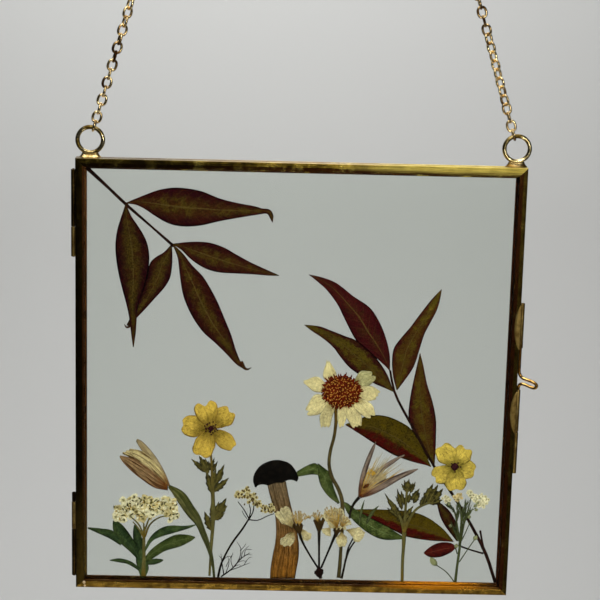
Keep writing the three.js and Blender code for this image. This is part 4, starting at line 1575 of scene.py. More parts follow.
# %% Mushroom
CAP_TOP = [
    (255, 487), (253, 480), (255, 472), (262, 464), (275, 459.5), (288, 462), (295, 469),
    (298.5, 477), (297, 481),
]  # fmt: skip
CAP_UNDER = [
    (256.5, 487), (258, 485), (263, 484), (270, 485.5), (277, 486), (284, 481.5), (289, 479.5),
    (294, 480), (296.5, 481.5),
]  # fmt: skip
STALK_LEFT = [
    (270, 578), (270.5, 568), (272.5, 555), (275, 543), (276, 530), (275, 515), (272, 503),
    (269, 492), (267, 483),
]  # fmt: skip
STALK_RIGHT = [
    (295, 578), (296.5, 569), (298.5, 558), (299, 547), (298, 536), (295, 520), (291, 505),
    (288, 492), (286, 481),
]  # fmt: skip
make_piece("cap", [panel(CAP_TOP, CAP_UNDER, 2, rows=48, columns=21)], [cap_black], "mushroom_cap")
stalk = panel(STALK_LEFT, STALK_RIGHT, 2, rows=48, columns=21)
make_piece("stalk", [stalk], [stalk_streaks], "mushroom_stalk")
print("mushroom: cap and stalk")

# %% [markdown]
# ## The daisy
# Nine papery rays of different lengths hang round a dark disc, which is a heap of tiny
# dry florets. Two green leaves join the stem, the upper one folded over on itself.

# %% Daisy
RAYS = [
    ([(332, 384), (323, 376), (326, 361)], [(338, 382), (336, 372), (330, 361)]),
    ([(328, 385), (317, 376), (304, 380)], [(326, 392), (314, 391), (304, 383)]),
    ([(328, 396), (315, 394), (306, 406)], [(333, 402), (321, 413), (309, 416)]),
    ([(329, 401), (320, 414), (320, 426)], [(337, 404), (333, 414), (330, 426)]),
    ([(338, 404), (337, 417), (339, 427)], [(345, 403), (347, 415), (344, 425)]),
    ([(343, 404), (346, 416), (352, 427)], [(352, 402), (361, 414), (362, 424)]),
    ([(350, 402), (358, 412), (367, 418)], [(358, 397), (371, 403), (376, 413)]),
    ([(357, 397), (365, 401), (374, 400)], [(358, 387), (370, 385), (380, 390)]),
    ([(358, 390), (368, 386), (376, 379)], [(354, 380), (360, 371), (369, 370)]),
]
# The disc: its middle, right and down, and its half width and half height in mm.
DISC = (341.5, 391, 8.6, 7.5)
DAISY_STEM = [
    (335, 404), (336, 420), (334, 437), (330.5, 450), (329, 464), (332, 477), (338, 488),
    (342, 500), (342.5, 515),
]  # fmt: skip
LOWER_DAISY_STEM = [(342.5, 515), (342, 530), (341, 545), (340, 562), (338.5, 577.5)]
FOLDED_PART = (
    [(296, 477), (305, 475.5), (312, 474.5), (318, 475)],
    [(297, 471), (308, 465), (315, 463), (319, 466)],
)
HANGING_PART = (
    [(317, 467), (318, 476), (321, 486), (328, 496), (338, 504)],
    [(318, 463), (325, 468.5), (330, 473), (334, 488), (340, 503)],
)
LOWER_LEAF = (
    [(343, 503), (348, 514), (357, 524), (370, 534), (384, 539.5), (404, 539)],
    [(342, 502), (347, 502.5), (357, 510), (375, 520), (390, 528), (404, 537)],
)
# Ray 8 lies over a dark leaf and takes the darker cream: painted shade.
rays = [
    panel(a, b, 1, draw.uniform(-1, 1), int(number == 8), teeth=1.3, count=2 + number % 2)
    for number, (a, b) in enumerate(RAYS)
]
for number, ray in enumerate(rays):
    ray["points"][:, 1] += 0.035 * (number % 3 - 1)
make_piece("rays", rays, [cream_petal, thin_shaded_petal], "daisy_rays")
grains = []
for place in scatter(DISC, 300):
    tint, turn, lift = draw.uniform(-1, 1), draw.uniform(-0.9, 0.9), draw.uniform(-0.06, 0.02)
    grains.append(bead(place, 0.42, 0.6, 0, tint, turn=turn, lift=lift))
for place in scatter((*DISC[:2], 8.0, 6.9), 120):
    tint, turn, lift = draw.uniform(-1, 1), draw.uniform(-1.5, 1.5), draw.uniform(-0.16, -0.04)
    grains.append(bead(place, 0.2, 0.6, 0, tint, 1, turn, lift))
disc_middle = np.array(seen(*DISC[:2]))
for turn in np.linspace(0, 2 * pi, 54, endpoint=False):
    outward = np.array([np.cos(turn), np.sin(turn)])
    root = disc_middle + outward * (7.4, 6.3)
    end = root + outward * draw.uniform(1.4, 2.7) + draw.normal(0, 0.4, 2)
    thick, tint = (0.5, 0.45, 0.2), draw.uniform(-1, 1)
    grains.append(hair([root, (root + end) / 2, end], thick, 0, tint, count=4, sides=5))
low, high = disc_middle - (0, 7), disc_middle + (0, 7)
backing = leaflet(low, high, (0, 0), (8.2, 8.2), 1, 0.5, 0, -1.0)
backing["points"][:, 1] += 0.16
make_piece("disc_florets", [backing, *grains], [disc_brown, disc_gold], "daisy_disc")
bodies = [
    stem(DAISY_STEM, (0.85, 0.75, 0.8, 0.9, 1.0), 3),
    stem(LOWER_DAISY_STEM, (0.9, 0.8, 0.95), 3),
]
make_piece("daisy_stalk", bodies, [tan_stem], "daisy_stem")
bodies = [panel(*FOLDED_PART, 4, 1.0), panel(*HANGING_PART, 4, -0.5)]
make_piece("folded_leaf", bodies, [green_leaf], "daisy_leaf_upper")
make_piece("hanging_leaf", [panel(*LOWER_LEAF, 3, rows=44)], [green_leaf], "daisy_leaf_lower")
print("daisy:", len(rays), "rays and", len(grains), "disc florets")

# %% [markdown]
# ## The two yellow flowers
# Each has five broad petals with a shallow notch, round a dark knot of stamens.

# %% Yellow flowers
# Each petal: its tip, its half width and the depth of its notch.
LEFT_FLOWER = (211, 428)
LEFT_PETALS = [
    ((203.5, 398.5), 5.5, 0.24), ((233, 408), 4.8, 0.16), ((179.5, 424), 5.2, 0.12),
    ((199.5, 457.5), 5.2, 0.1), ((235, 448.5), 4.0, 0.08),
]  # fmt: skip
RIGHT_FLOWER = (454.5, 466)
RIGHT_PETALS = [
    ((439.5, 443.5), 4.9, 0.1), ((467, 445), 4.7, 0.16), ((476, 471), 4.6, 0.1),
    ((456, 491.5), 5.0, 0.12), ((431.5, 479), 4.4, 0.16),
]  # fmt: skip


def stamen_knot(centre, core, count, reach, layer):
    """Fine filaments with a dark bead at each end, spread round a dark core."""
    bodies = [bead(centre, core, core, layer, finish=1, lift=-0.05)]
    for number in range(count):
        angle = number * 2.4
        far = reach * draw.uniform(0.45, 1.0)
        end = np.array(centre) + far * np.array([np.cos(angle), np.sin(angle)])
        points = [centre, (centre + end) / 2, end]
        bodies.append(hair(points, (0.1, 0.07), layer, finish=1, count=4, sides=4))
        bodies.append(bead(end, 0.42, 0.5, layer, finish=1, turn=angle, lift=-0.08))
    return bodies


for name, centre, shapes, finish, layer, knot in (
    ("yellow_flower_left", LEFT_FLOWER, LEFT_PETALS, yellow_petal, 1, (1.5, 18, 3.6)),
    ("yellow_flower_right", RIGHT_FLOWER, RIGHT_PETALS, pale_yellow_petal, 0, (2.1, 4, 4.4)),
):
    centre = np.array(seen(*centre))
    bodies = [
        petal(centre, seen(*tip), half, layer, notch, draw.uniform(-1, 1), 0, 0.04 * (number % 3))
        for number, (tip, half, notch) in enumerate(shapes)
    ]
    bodies += stamen_knot(centre, *knot, layer)
    make_piece(name + "_petals", bodies, [finish, dark_maroon], name)

# Each small leaflet: its base, its tip and its half width.
LEFT_HERB = [
    ((208, 473), (191, 458.5), 1.3), ((208, 472), (194, 464), 1.0), ((209, 473), (199, 455.5), 1.7),
    ((209, 472), (205, 458), 1.2), ((211, 471), (208.5, 460), 0.6), ((211, 470), (214.5, 457), 0.7),
    ((211, 473), (218, 460.5), 0.8), ((212, 494), (206, 469), 1.5), ((212, 489), (216, 467), 1.3),
    ((213, 488), (224.5, 464), 1.6), ((214, 484), (224, 473), 1.0), ((213, 492), (229, 477.5), 1.6),
    ((212, 522), (211, 503), 0.9), ((214, 520), (226.5, 497.5), 2.0), ((214, 519), (219, 501), 1.2),
    ((215, 518), (227.5, 505), 1.5), ((215, 520), (225, 512.5), 1.2),
    ((211.5, 531), (204.5, 511), 1.7), ((212, 529), (206, 517), 1.0),
]  # fmt: skip
LEFT_HERB_STEM = [
    (211, 455), (212, 470), (212.5, 485), (213, 500), (213.5, 515), (212.5, 530), (211, 550),
    (209.5, 575.5),
]  # fmt: skip
bodies = [lobe(a, b, half, 3, draw.uniform(-1, 1), finish=1) for a, b, half in LEFT_HERB]
bodies.append(
    stem(LEFT_HERB_STEM, (0.5, 0.7, 0.9, 1.0, 0.9, 0.8, 0.6, 0.55), 3, finish=0, count=40)
)
make_piece("left_herb", bodies, [green_stem, herb_leaf], "yellow_flower_left_stem")

RIGHT_HERB = [
    ((401, 521), (384.5, 492.5), 1.2), ((400, 516), (391, 500), 1.2),
    ((399, 517), (386.5, 507), 0.9), ((401, 522), (394, 504), 1.4), ((402, 510), (397, 488), 1.1),
    ((403, 508), (395, 495.5), 0.8), ((404, 505), (401, 490), 1.0), ((408, 503), (410, 492), 1.0),
    ((410, 493), (415.5, 481), 0.9), ((402, 520), (413.5, 505), 1.2), ((405, 521), (411, 508), 1.1),
    ((411, 500), (419.5, 488), 1.3), ((413, 503), (420, 492), 1.2), ((423, 504), (433, 483), 1.8),
    ((427, 504), (438, 484), 1.8), ((431, 503), (443, 488), 1.7), ((430, 504), (443, 499), 1.2),
    ((420, 506), (425, 494), 1.1),
]  # fmt: skip
BUD_TIPS = [(401, 483), (404, 479), (409, 478), (413, 482)]
RIGHT_HERB_STEMS = [
    ([(402, 581), (402.5, 560), (403.5, 545), (404, 532)], (0.75, 0.75, 0.8, 1.1)),
    ([(404, 533), (401.5, 521), (396, 509), (391, 501)], (0.8, 0.7, 0.5, 0.3)),
    ([(404, 533), (405, 516), (406, 500), (407, 490)], (0.9, 0.7, 0.6, 0.6)),
    ([(404, 532), (409, 519), (416, 509), (426, 503.5), (436, 502)], (0.8, 0.7, 0.6, 0.6, 0.5)),
]
bodies = [lobe(a, b, half, 2, draw.uniform(-1, 1), finish=1) for a, b, half in RIGHT_HERB]
bodies += [stem(points, thick, 2, finish=0) for points, thick in RIGHT_HERB_STEMS]
bodies += [
    bead(seen(407.5, 485.5), 2.0, 2.7, 2, finish=1, lift=-0.05),
    *[lobe((407.5, 492), tip, 0.9, 2, -1.0, finish=1) for tip in BUD_TIPS],
]
make_piece("right_herb", bodies, [green_stem, herb_leaf], "yellow_flower_right_sprig")
print("yellow flowers:", len(LEFT_PETALS) + len(RIGHT_PETALS), "petals")

# %% [markdown]
# ## The lily bud and the striped flower
# Both are long closed petals that dried with their veins showing as stripes.

# %% Lily bud
LILY_BACK = (
    [(169, 487), (163, 478), (157, 468), (149, 459), (141, 449), (136, 441)],
    [(170, 484), (165, 472), (157, 458), (148, 446.5), (141, 440), (137, 438.5)],
)
LILY_MIDDLE = (
    [(167, 487), (159, 479), (149, 470), (139, 462), (129, 456.5), (122, 453)],
    [(168, 482), (164, 473.5), (158, 464.5), (151, 457), (142, 450.5), (132, 448)],
)
LILY_FRONT = (
    [(168, 490), (155, 487.5), (144, 480.5), (133, 472), (124, 463), (119.5, 456.5)],
    [(168, 485), (160, 478.5), (150, 469), (140, 462), (130, 457), (120.5, 455)],
)
LILY_STRAP = (
    [
        (168, 487), (172, 492.5), (180, 505), (188, 516), (196, 525), (202, 538), (208, 552),
        (211.5, 565), (213, 577),
    ],
    [
        (170, 484.5), (180, 489), (187, 495), (194, 506), (200, 515), (204.5, 527), (209.5, 541),
        (213.5, 557), (215.5, 577),
    ],
)  # fmt: skip
bodies = [
    panel(*LILY_BACK, 2, 0.3, 0, rows=30),
    panel(*LILY_MIDDLE, 2, 0.0, 1, teeth=0.8, rows=30),
    panel(*LILY_FRONT, 2, 0.0, 2, rows=30),
    panel(*LILY_STRAP, 2, 0.0, 3, rows=44),
    stem([(165, 484), (150, 469), (137, 460), (130, 452)], (0.3, 0.2, 0.15), 2, finish=2),
]
for body, lift in zip(bodies, (0.06, 0.0, -0.06, 0.0, -0.05)):
    body["points"][:, 1] += lift
strap_green = dried(
    "strap green",
    petals,
    base="30340f",
    tip="262c16",
    stripe="64603a",
    rim="1c2210",
    stripe_count=2.2,
    stripe_share=0.8,
    base_end=0.8,
)
make_piece("lily", bodies, [lily_petal, lily_cream, lily_brown, strap_green], "lily_bud")

# %% Striped flower
# Each petal: its two edges, its finish and how far back it lies.
STRIPED = [
    (
        [(358, 497), (358.5, 486), (361, 473), (366, 459), (371, 448), (375.5, 441)],
        [(360, 497), (364, 482), (368, 468), (372, 456), (375, 447), (376, 441)],
        0,
        -0.05,
    ),
    (
        [(360, 498), (372, 494.5), (385, 488), (400, 479), (410, 474), (418, 469)],
        [(360, 496), (370, 487), (382, 480), (395, 475), (408, 470), (417.5, 468)],
        0,
        -0.05,
    ),
    (
        [(364, 490), (376, 476.5), (388, 467), (398, 459.5), (405, 455)],
        [(362, 488), (372, 473), (382, 465.5), (393, 458.5), (404, 454)],
        0,
        0.0,
    ),
    (
        [(359, 497), (361, 485), (366, 474), (371, 467)],
        [(361, 497), (370, 491), (379, 484), (387, 478)],
        1,
        0.06,
    ),
]
bodies = [
    panel(a, b, 2, draw.uniform(-1, 1), finish, teeth=0.0 if finish == 0 else 2.5, count=5)
    for a, b, finish, lift in STRIPED
]
for body, (a, b, finish, lift) in zip(bodies, STRIPED):
    body["points"][:, 1] += lift
SILK_START, SILK_SPREAD = (361, 494), [(374, 450), (396, 455), (409, 470)]
silk_start = np.array(seen(*SILK_START))
silk_ends = curve(seen_line(SILK_SPREAD), 31)
for share in np.linspace(0, 1, 30):
    end = silk_ends[int(30 * share)]
    end = silk_start + draw.uniform(0.55, 1.02) * (end - silk_start)
    middle = (silk_start + end) / 2 + draw.uniform(-0.6, 0.6, 2)
    finish = 2 if draw.random() < 0.12 else 1
    points, thick, tint = [silk_start, middle, end], (0.3, 0.32, 0.06), draw.uniform(-1, 1)
    bodies.append(hair(points, thick, 2, tint, finish, count=8, sides=5))
bodies += [
    bead(place, 0.6, 0.8, 2, draw.uniform(-1, 1), 2, lift=-0.08)
    for place in scatter((372, 472.5, 1.7, 1.4), 6)
]
bodies += [
    bead(seen(366, 485.5), 1.0, 2.1, 2, finish=3, turn=0.9, lift=-0.08),
    bead(silk_start, 0.9, 1.5, 2, finish=3, turn=0.5),
]
bodies += [
    stem([(359, 497), (354, 503), (350.5, 511), (349.5, 518)], (0.8, 0.6, 0.5), 2, finish=4),
    stem(
        [(357, 538), (350, 548), (346, 558), (344, 567), (341.5, 578)],
        (0.35, 0.4, 0.5, 0.5, 0.6),
        2,
        finish=4,
    ),
    stem([(353.5, 537), (348, 548), (345.5, 560)], (0.35, 0.4, 0.4), 2, finish=4),
    leaflet(seen(359, 525), seen(364.5, 499), (0.3, 0.3), (0.6, 0.6), 0.8, 0.7, 2, 0.0, 5),
    leaflet(seen(366, 524), seen(379, 505), (0.6, 0.7), (0.8, 0.8), 0.8, 0.7, 2, 0.0, 5),
]
brown_spot = dried("brown spot", petals, base="3c1a08", tip="54280c", stripe="2c1206", rim="74441a")
finishes = [striped_petal, silky_petal, golden_anther, brown_spot, dark_stem, grey_herb]
make_piece("striped_petals", bodies, finishes, "striped_flower")
print("striped flower:", len(STRIPED), "petals")

# %% [markdown]
# ## The blossom spray
# Three cherry blossoms on dark stalks from one knob: a side view of each, with its
# calyx, a tuft of gold stamens and a few limp petals.

# %% Blossom spray
KNOB = (319, 572)
BLOSSOM_STALKS = [
    ([(318, 567), (309, 553), (302, 540), (299, 531)], (0.5, 0.45, 0.5, 0.8)),
    ([(319, 567), (319, 545), (319, 529)], (0.5, 0.5, 0.8)),
    ([(321, 567), (328, 551), (333, 539), (336, 532)], (0.5, 0.45, 0.55, 0.8)),
]
CALYXES = [
    ([(299, 534), (295, 529), (292, 524)], [(300.5, 533), (302.5, 528), (303, 523)]),
    ([(318, 532), (315.5, 526), (313, 518.5)], [(320, 532), (323, 525), (325, 518)]),
    ([(334.5, 537), (334, 532), (333, 528)], [(336.5, 536), (340, 531), (344, 528)]),
]
# Each petal: its base, its tip and its half width.
BLOSSOM_PETALS = [
    ((293, 527), (282.5, 504.5), 2.3), ((293, 527), (274.5, 510), 1.9),
    ((292, 531), (281.5, 545.5), 2.1), ((294, 531), (288, 546), 1.7), ((301, 528), (310, 540), 2.1),
    ((330, 527), (324, 534), 2.4), ((332, 524), (327, 508), 3.1), ((336, 523), (338, 506), 3.0),
    ((340, 525), (349, 517), 2.8), ((341, 531), (342, 547), 2.7), ((346, 529), (366, 534), 2.4),
    ((350, 530), (362, 540), 2.3), ((333, 528), (347, 526), 1.4), ((338, 527), (328, 520), 2.2),
]  # fmt: skip
# Each tuft: its root, the middle of its anthers, their reach and their number.
TUFTS = [
    ((298, 526), (298, 515), 4.6, 34), ((318, 521), (317, 514), 3.6, 18),
    ((307, 517), (307, 516), 2.4, 9), ((337, 527), (333, 513), 5.8, 44),
    ((342, 526), (344, 518), 3.4, 16),
]  # fmt: skip
bodies = [stem(points, thick, 0, finish=0) for points, thick in BLOSSOM_STALKS]
bodies.append(bead(seen(*KNOB), 2.2, 2.5, 0, finish=1))
for place in scatter((*KNOB, 1.4, 1.7), 12):
    bodies.append(bead(place, 1.0, 1.1, 0, draw.uniform(-1, 1), 1, draw.uniform(0, 3), -0.04))
for left, right in CALYXES:
    cup = panel(left, right, 0, finish=2, teeth=1.6, count=3, rows=14, columns=13)
    cup["points"][:, 1] -= 0.07
    bodies.append(cup)
for base, tip, half in BLOSSOM_PETALS:
    tint, lift = draw.uniform(-1, 1), draw.uniform(0, 0.08)
    bodies.append(petal(seen(*base), seen(*tip), half, 0, 0.1, tint, 3, lift, crumple=3.2))
for root, middle, reach, count in TUFTS:
    start = np.array(seen(*root))
    for place in scatter((*middle, reach * 0.75, reach * 0.6), count):
        points = [start, start * 0.5 + place * 0.5, place]
        finish = 4 + (len(bodies) % 4 > 1)
        bodies.append(hair(points, (0.26, 0.14), 0, 0, finish, count=4, sides=4))
        bodies.append(bead(place, 0.42, 0.6, 0, draw.uniform(-1, 1), 5, lift=-0.1))
calyx_brown = dried(
    "calyx brown", petals, base="120c08", tip="34260f", stripe="2a1a0c", rim="4a3214"
)
knob_brown = dried(
    "knob brown", petals, 0.0004, base="140a08", tip="241410", stripe="0c0605", rim="3c241c"
)
finishes = [dark_stem, knob_brown, calyx_brown, papery_petal, golden_anther, silky_petal]
make_piece("blossoms", bodies, finishes, "blossom_spray")
print("blossom spray:", len(BLOSSOM_PETALS), "petals")

# %% [markdown]
# ## Clusters of small florets
# Tiny five-petalled flowers, repeated many times, so each has only a few dozen faces.

# %% White cluster with its leaves
# Each head: the oval that its florets fill, and their number.
HEADS = [
    ((146, 504, 7.2, 3.4), 38), ((131, 503, 3.4, 3.0), 13), ((164, 506, 6.2, 3.8), 26),
    ((122, 513, 3.6, 3.6), 16), ((144, 514, 3.4, 3.2), 10), ((173, 514, 2.6, 2.6), 8),
]  # fmt: skip
HEAD_STALKS = [
    [(144, 538), (144, 526), (143, 514)],
    [(144, 535), (139, 524), (131, 516)],
    [(145, 536), (150, 524), (159, 517), (168, 515)],
    [(144, 532), (148, 521), (152, 511)],
    [(144, 537), (138, 527), (133, 521)],
]
CLUSTER_LEAVES = [
    (
        [(121, 545), (110, 538), (98, 532.5), (88, 528)],
        [(122, 540), (113, 530), (100, 527.5), (88, 526.5)],
    ),
    (
        [(139, 560), (129, 550), (121, 543), (116, 536), (113, 528), (113, 520)],
        [(141, 558), (138, 546), (133, 538), (126, 528), (120, 522), (114.5, 519.5)],
    ),
    (
        [(141, 557), (134.5, 543), (133, 533), (134, 524.5)],
        [(143.5, 556), (144, 545), (141, 534), (135.5, 524)],
    ),
    (
        [(144.5, 553), (152, 541), (160, 536.5), (175, 532), (188, 528), (196, 524.5)],
        [(144, 552), (148, 540), (156, 530.5), (168, 525), (185, 525), (196, 523.5)],
    ),
    (
        [(144.5, 563), (155, 556.5), (166, 550), (180, 546), (190, 541), (195.5, 537)],
        [(144.5, 557), (152, 548), (163, 540), (176, 534), (188, 534), (195, 536)],
    ),
    (
        [(146, 564), (154, 564), (160, 562), (163.5, 560)],
        [(146, 560), (153, 558), (160, 558), (163.5, 559)],
    ),
    (
        [(139, 570), (128, 563.5), (118, 561.5), (110, 560)],
        [(140, 567), (131, 560.5), (120, 557.5), (110, 559)],
    ),
    (
        [(141, 577), (138, 568), (136, 558), (140, 548)],
        [(145.5, 577), (149, 567), (146, 558), (144, 548)],
    ),
]
bodies = []
for outline, count in HEADS:
    for place in scatter(outline, count):
        bodies += floret(place, draw.uniform(1.3, 2.3), 1, 6 if draw.uniform() < 0.45 else 0)
        if draw.uniform() < 0.42:
            bud, turn = place + draw.normal(0, 0.9, 2), draw.uniform(0, 3)
            bodies.append(bead(bud, 0.35, 0.9, 1, 0, 1, turn, -0.12))
        if draw.uniform() < 0.2:
            bodies.append(bead(place, 0.35, 0.35, 1, 0, 2, 0, -0.12))
bodies += [stem(points, (0.55, 0.4, 0.3), 1, finish=3) for points in HEAD_STALKS]
bodies.append(stem([(143.5, 576), (144, 560), (144, 536)], (1.2, 0.9, 0.7), 1, finish=3))
for number, (a, b) in enumerate(CLUSTER_LEAVES):
    leaf = panel(a, b, 1, draw.uniform(-1, 1), 5 if number == 4 else 4)
    leaf["points"][:, 1] += 0.04 * (number % 3 - 1)
    bodies.append(leaf)
finishes = [floret_cream, herb_leaf, golden_anther, green_stem, dark_leaf, green_leaf, floret_white]
make_piece("white_cluster", bodies, finishes, "white_cluster_sprig")

# %% Umbel and its feathery leaf
UMBEL_STALKS = [
    (
        [(218, 577), (221, 564), (226, 553), (233, 541), (242, 529), (249, 518)],
        (0.6, 0.5, 0.45, 0.5, 0.5, 0.4),
    ),
    ([(249, 518), (244, 509), (238, 501)], (0.3, 0.25, 0.2)),
    ([(249, 518), (250.5, 510), (249, 503)], (0.3, 0.25, 0.2)),
    ([(249, 519), (253, 511), (254, 504)], (0.35, 0.3, 0.25)),
    ([(249, 519), (258, 519.5), (268, 515), (274, 513)], (0.3, 0.25, 0.2)),
    ([(247, 518), (244, 514), (242, 510)], (0.2, 0.15)),
    ([(221, 576), (232, 568), (241, 558), (250, 552)], (0.4, 0.3, 0.25, 0.15)),
    ([(239, 560), (241, 549), (237, 541)], (0.22, 0.18, 0.12)),
    ([(240, 550), (244, 546), (246, 543)], (0.18, 0.12)),
    ([(244, 556), (246, 549), (252, 549)], (0.18, 0.12)),
    ([(237, 562), (243, 560), (246, 561)], (0.18, 0.12)),
    ([(234, 566), (239, 564), (241, 565)], (0.18, 0.12)),
    ([(224, 574), (222, 562), (221, 553)], (0.3, 0.22, 0.12)),
    ([(222, 561), (227, 556), (232, 556)], (0.2, 0.12)),
    ([(226, 566), (230, 558), (233, 553)], (0.2, 0.12)),
    ([(222, 558), (219, 555)], (0.15, 0.1)),
    ([(229, 570), (240, 566), (250, 562)], (0.25, 0.18, 0.1)),
    ([(244, 564), (249, 557), (252, 557)], (0.18, 0.14, 0.1)),
    ([(233, 567), (231, 560), (233, 552)], (0.2, 0.15, 0.1)),
    ([(241, 558), (243, 551), (249, 545)], (0.2, 0.15, 0.1)),
    ([(246, 554), (252, 554)], (0.16, 0.1)),
    ([(236, 564), (240, 556)], (0.16, 0.1)),
    ([(226, 572), (229, 563), (228, 556)], (0.2, 0.16, 0.1)),
]
UMBEL_HEADS = [
    ((239, 495, 1.9, 1.8), 7), ((246, 492, 2.4, 3.0), 13), ((252, 499, 3.0, 2.6), 15),
    ((258, 504, 2.0, 1.4), 7), ((268, 508.5, 3.2, 2.1), 15),
]  # fmt: skip
bodies = [stem(points, thick, 1, finish=0, count=14, sides=6) for points, thick in UMBEL_STALKS]
for outline, count in UMBEL_HEADS:
    for place in scatter(outline, count):
        bodies += floret(place, draw.uniform(0.8, 1.2), 1, 1)
        bud = place + draw.normal(0, 0.6, 2)
        tint, turn = draw.uniform(-1, 1), draw.uniform(-0.6, 0.6)
        bodies.append(bead(bud, 0.42, 0.6, 1, tint, 2, turn, -0.1))
seed_brown = dried("seed brown", petals, base="2c1e0c", tip="54401c", stripe="241808", rim="6a5428")
make_piece("umbel", bodies, [dark_stem, floret_cream, seed_brown], "umbel_sprig")

# %% Small white sprig
SPRIG_STALKS = [
    ([(455, 581), (457, 564), (459, 550), (460, 540)], (0.65, 0.6, 0.6, 0.6)),
    ([(460, 545), (457, 525), (454, 511), (446, 500)], (0.5, 0.45, 0.35, 0.25)),
    ([(459, 545), (461, 522), (460, 508), (458, 498)], (0.5, 0.5, 0.45, 0.25)),
    ([(460, 543), (464, 522), (468, 508), (471, 496)], (0.45, 0.45, 0.35, 0.25)),
    ([(463, 524), (470, 511), (476, 507)], (0.3, 0.25, 0.2)),
    ([(461, 540), (466, 530), (470, 520)], (0.3, 0.25, 0.2)),
    ([(459, 561), (467, 549), (474, 539)], (0.3, 0.25, 0.25)),
    ([(454, 581), (446, 571), (436, 564)], (0.3, 0.25, 0.25)),
    ([(457, 553), (455, 546)], (0.3, 0.3)),
]
SPRIG_LEAVES = [
    ((463, 520), (466, 500), 1.6), ((466, 518), (471, 507), 1.2), ((457, 520), (458, 501), 1.3),
    ((455, 512), (446, 500), 1.0), ((458, 540), (453, 523), 1.0), ((461, 535), (463, 515), 1.2),
    ((463, 512), (467, 499), 1.3), ((451, 508), (446, 503), 0.7),
]  # fmt: skip
# Each flower: the oval that its florets fill, their number, and 1 if they are peach.
SPRIG_FLOWERS = [
    ((446, 497.5, 1.9, 1.5), 6, 0), ((458, 495.5, 1.8, 1.2), 6, 1), ((470, 493, 1.8, 1.6), 7, 0),
    ((481.5, 500, 2.8, 3.2), 24, 0), ((474, 497, 1.2, 1.2), 4, 0),
]  # fmt: skip
# Each bud: its middle, its half width and its turn.
SPRIG_BUDS = [
    ((475, 537), 1.2, 0.5), ((469, 516), 0.9, 0.0), ((456, 545), 1.1, 0.2), ((450, 525), 0.8, 0.2),
    ((475, 505), 0.9, 0.9), ((477, 502), 0.8, 0.3), ((476, 509), 0.8, 1.2), ((449, 503), 0.8, 0.5),
]  # fmt: skip
bodies = [stem(points, thick, 0, finish=0, count=14, sides=6) for points, thick in SPRIG_STALKS]
for a, b, spread in SPRIG_LEAVES:
    bodies += feather(a, b, spread, 0, finish=1)
for outline, count, peach in SPRIG_FLOWERS:
    for place in scatter(outline, count):
        bodies += floret(place, draw.uniform(0.9, 1.3), 0, 2 + peach)
for place, half, turn in SPRIG_BUDS:
    bodies.append(bead(seen(*place), half, half * 1.2, 0, 0, 4, turn, -0.05))
bodies.append(leaflet(seen(437, 565), seen(430, 556), (0.2, 0.2), (1.5, 1.5), 0.9, 0.9, 0, 0.0, 4))
peach = dried("peach floret", petals, base="a88c50", tip="dcc894", stripe="b9a062", rim="e8d8ac")
bud_green = dried("bud green", petals, base="5c6340", tip="8a8c64", stripe="4d5436", rim="a3a47e")
herb_stalk = dried("herb stalk", petals, base="3c4222", tip="484e2e", stripe="2c321a", rim="242a14")
make_piece(
    "white_sprig",
    bodies,
    [herb_stalk, grey_herb, floret_white, peach, bud_green],
    "small_white_sprig",
)
print("small sprigs done")

# %% [markdown]
# ## The studio
# A pale floor runs up into a pale wall well behind the frame, lit by large soft lamps. The
# brass looks dark because most of what it mirrors, in front and below, is the unlit side
# of the room, and painted shade in some bars' colours darkens them further.

# %% Floor, lamps and world
FLOOR_HEIGHT = -720.0
WALL_DEPTH = 1250.0
SWEEP_RADIUS = 600.0
FLOOR_FRONT, WALL_TOP, STUDIO_HALF_WIDTH = -300.0, 1900.0, 5000.0


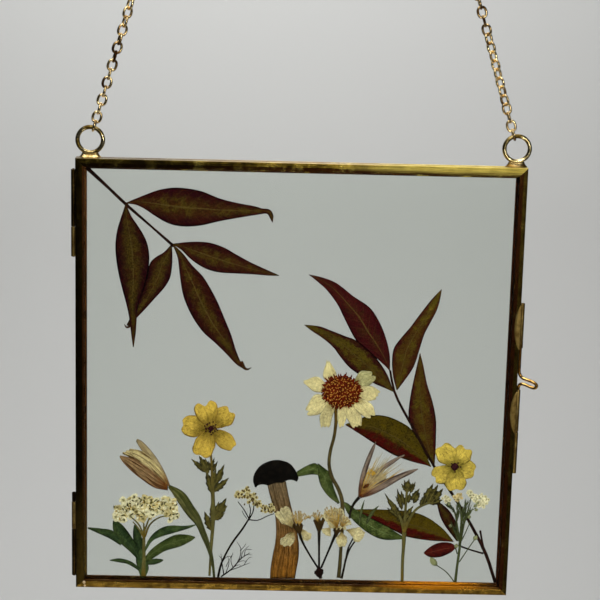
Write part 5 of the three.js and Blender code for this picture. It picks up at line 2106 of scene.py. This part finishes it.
def studio_sweep():
    """The floor, a quarter circle and the wall, as one profile carried along X."""
    turn = np.linspace(0, pi / 2, 24)
    floor = [(FLOOR_FRONT, FLOOR_HEIGHT), (0.0, FLOOR_HEIGHT)]
    bend_depth = WALL_DEPTH - SWEEP_RADIUS + SWEEP_RADIUS * np.sin(turn)
    bend_height = FLOOR_HEIGHT + SWEEP_RADIUS * (1 - np.cos(turn))
    bend = np.stack([bend_depth, bend_height], -1)
    profile = np.vstack([floor, bend, [(WALL_DEPTH, WALL_TOP)]])
    x = np.array([[-STUDIO_HALF_WIDTH], [STUDIO_HALF_WIDTH]])
    grid = stacked(x, profile[:, 0], profile[:, 1])
    mesh = bpy.data.meshes.new("studio")
    mesh.from_pydata(to_metres(grid.reshape(-1, 3)), [], grid_faces(2, len(profile)).tolist())
    mesh.polygons.foreach_set("use_smooth", [True] * len(mesh.polygons))
    return bpy.data.objects.new("studio", mesh)


studio = studio_sweep()
bpy.context.scene.collection.objects.link(studio)
paper = bpy.data.materials.new("studio paper")
paper.use_nodes = True
shader = paper.node_tree.nodes["Principled BSDF"]
shader.inputs["Base Color"].default_value = (0.7, 0.705, 0.695, 1.0)
shader.inputs["Roughness"].default_value = 0.9
studio.data.materials.append(paper)


def lamp(name, place, aim, size, power, tint=(1.0, 1.0, 1.0)):
    """A square area lamp at place, turned to face aim; its axis is their difference."""
    data = bpy.data.lights.new(name, "AREA")
    data.size = size
    data.energy = power
    data.color = tint
    lamp_object = bpy.data.objects.new(name, data)
    start, end = to_metres(place), to_metres(aim)
    back = unit(start - end)
    right = unit(np.cross((0, 0, 1), back))
    up = np.cross(back, right)
    turn = Matrix([[*row, 0] for row in np.stack([right, up, back], -1)] + [[0, 0, 0, 1]])
    lamp_object.matrix_world = Matrix.Translation(start) @ turn
    bpy.context.scene.collection.objects.link(lamp_object)


lamp("key lamp", (-150, -650, 950), (0, 0, 0), 0.9, 9.0, (1.0, 0.99, 0.97))
lamp("side lamp", (400, -1300, 170), (0, 0, 0), 0.35, 4.2, (1.0, 0.98, 0.93))
lamp("low lamp", (0, -700, -540), (0, 0, -60), 0.3, 1.0, (1.0, 0.95, 0.85))
lamp("wall lamp", (-70, 404, 925), (-70, 1250, 78), 0.97, 8.5)
lamp("high wall lamp", (-58, 839, 635), (-58, 1250, 163), 0.3, 1.02)
lamp("back lamp", (60, 800, 760), (0, 0, 0), 0.6, 2.5)
world = bpy.data.worlds.new("room")
world.use_nodes = True
world.node_tree.nodes["Background"].inputs[0].default_value = (1.0, 1.0, 1.0, 1.0)
world.node_tree.nodes["Background"].inputs[1].default_value = 0.012
bpy.context.scene.world = world
bpy.context.scene.view_settings.view_transform = "Standard"
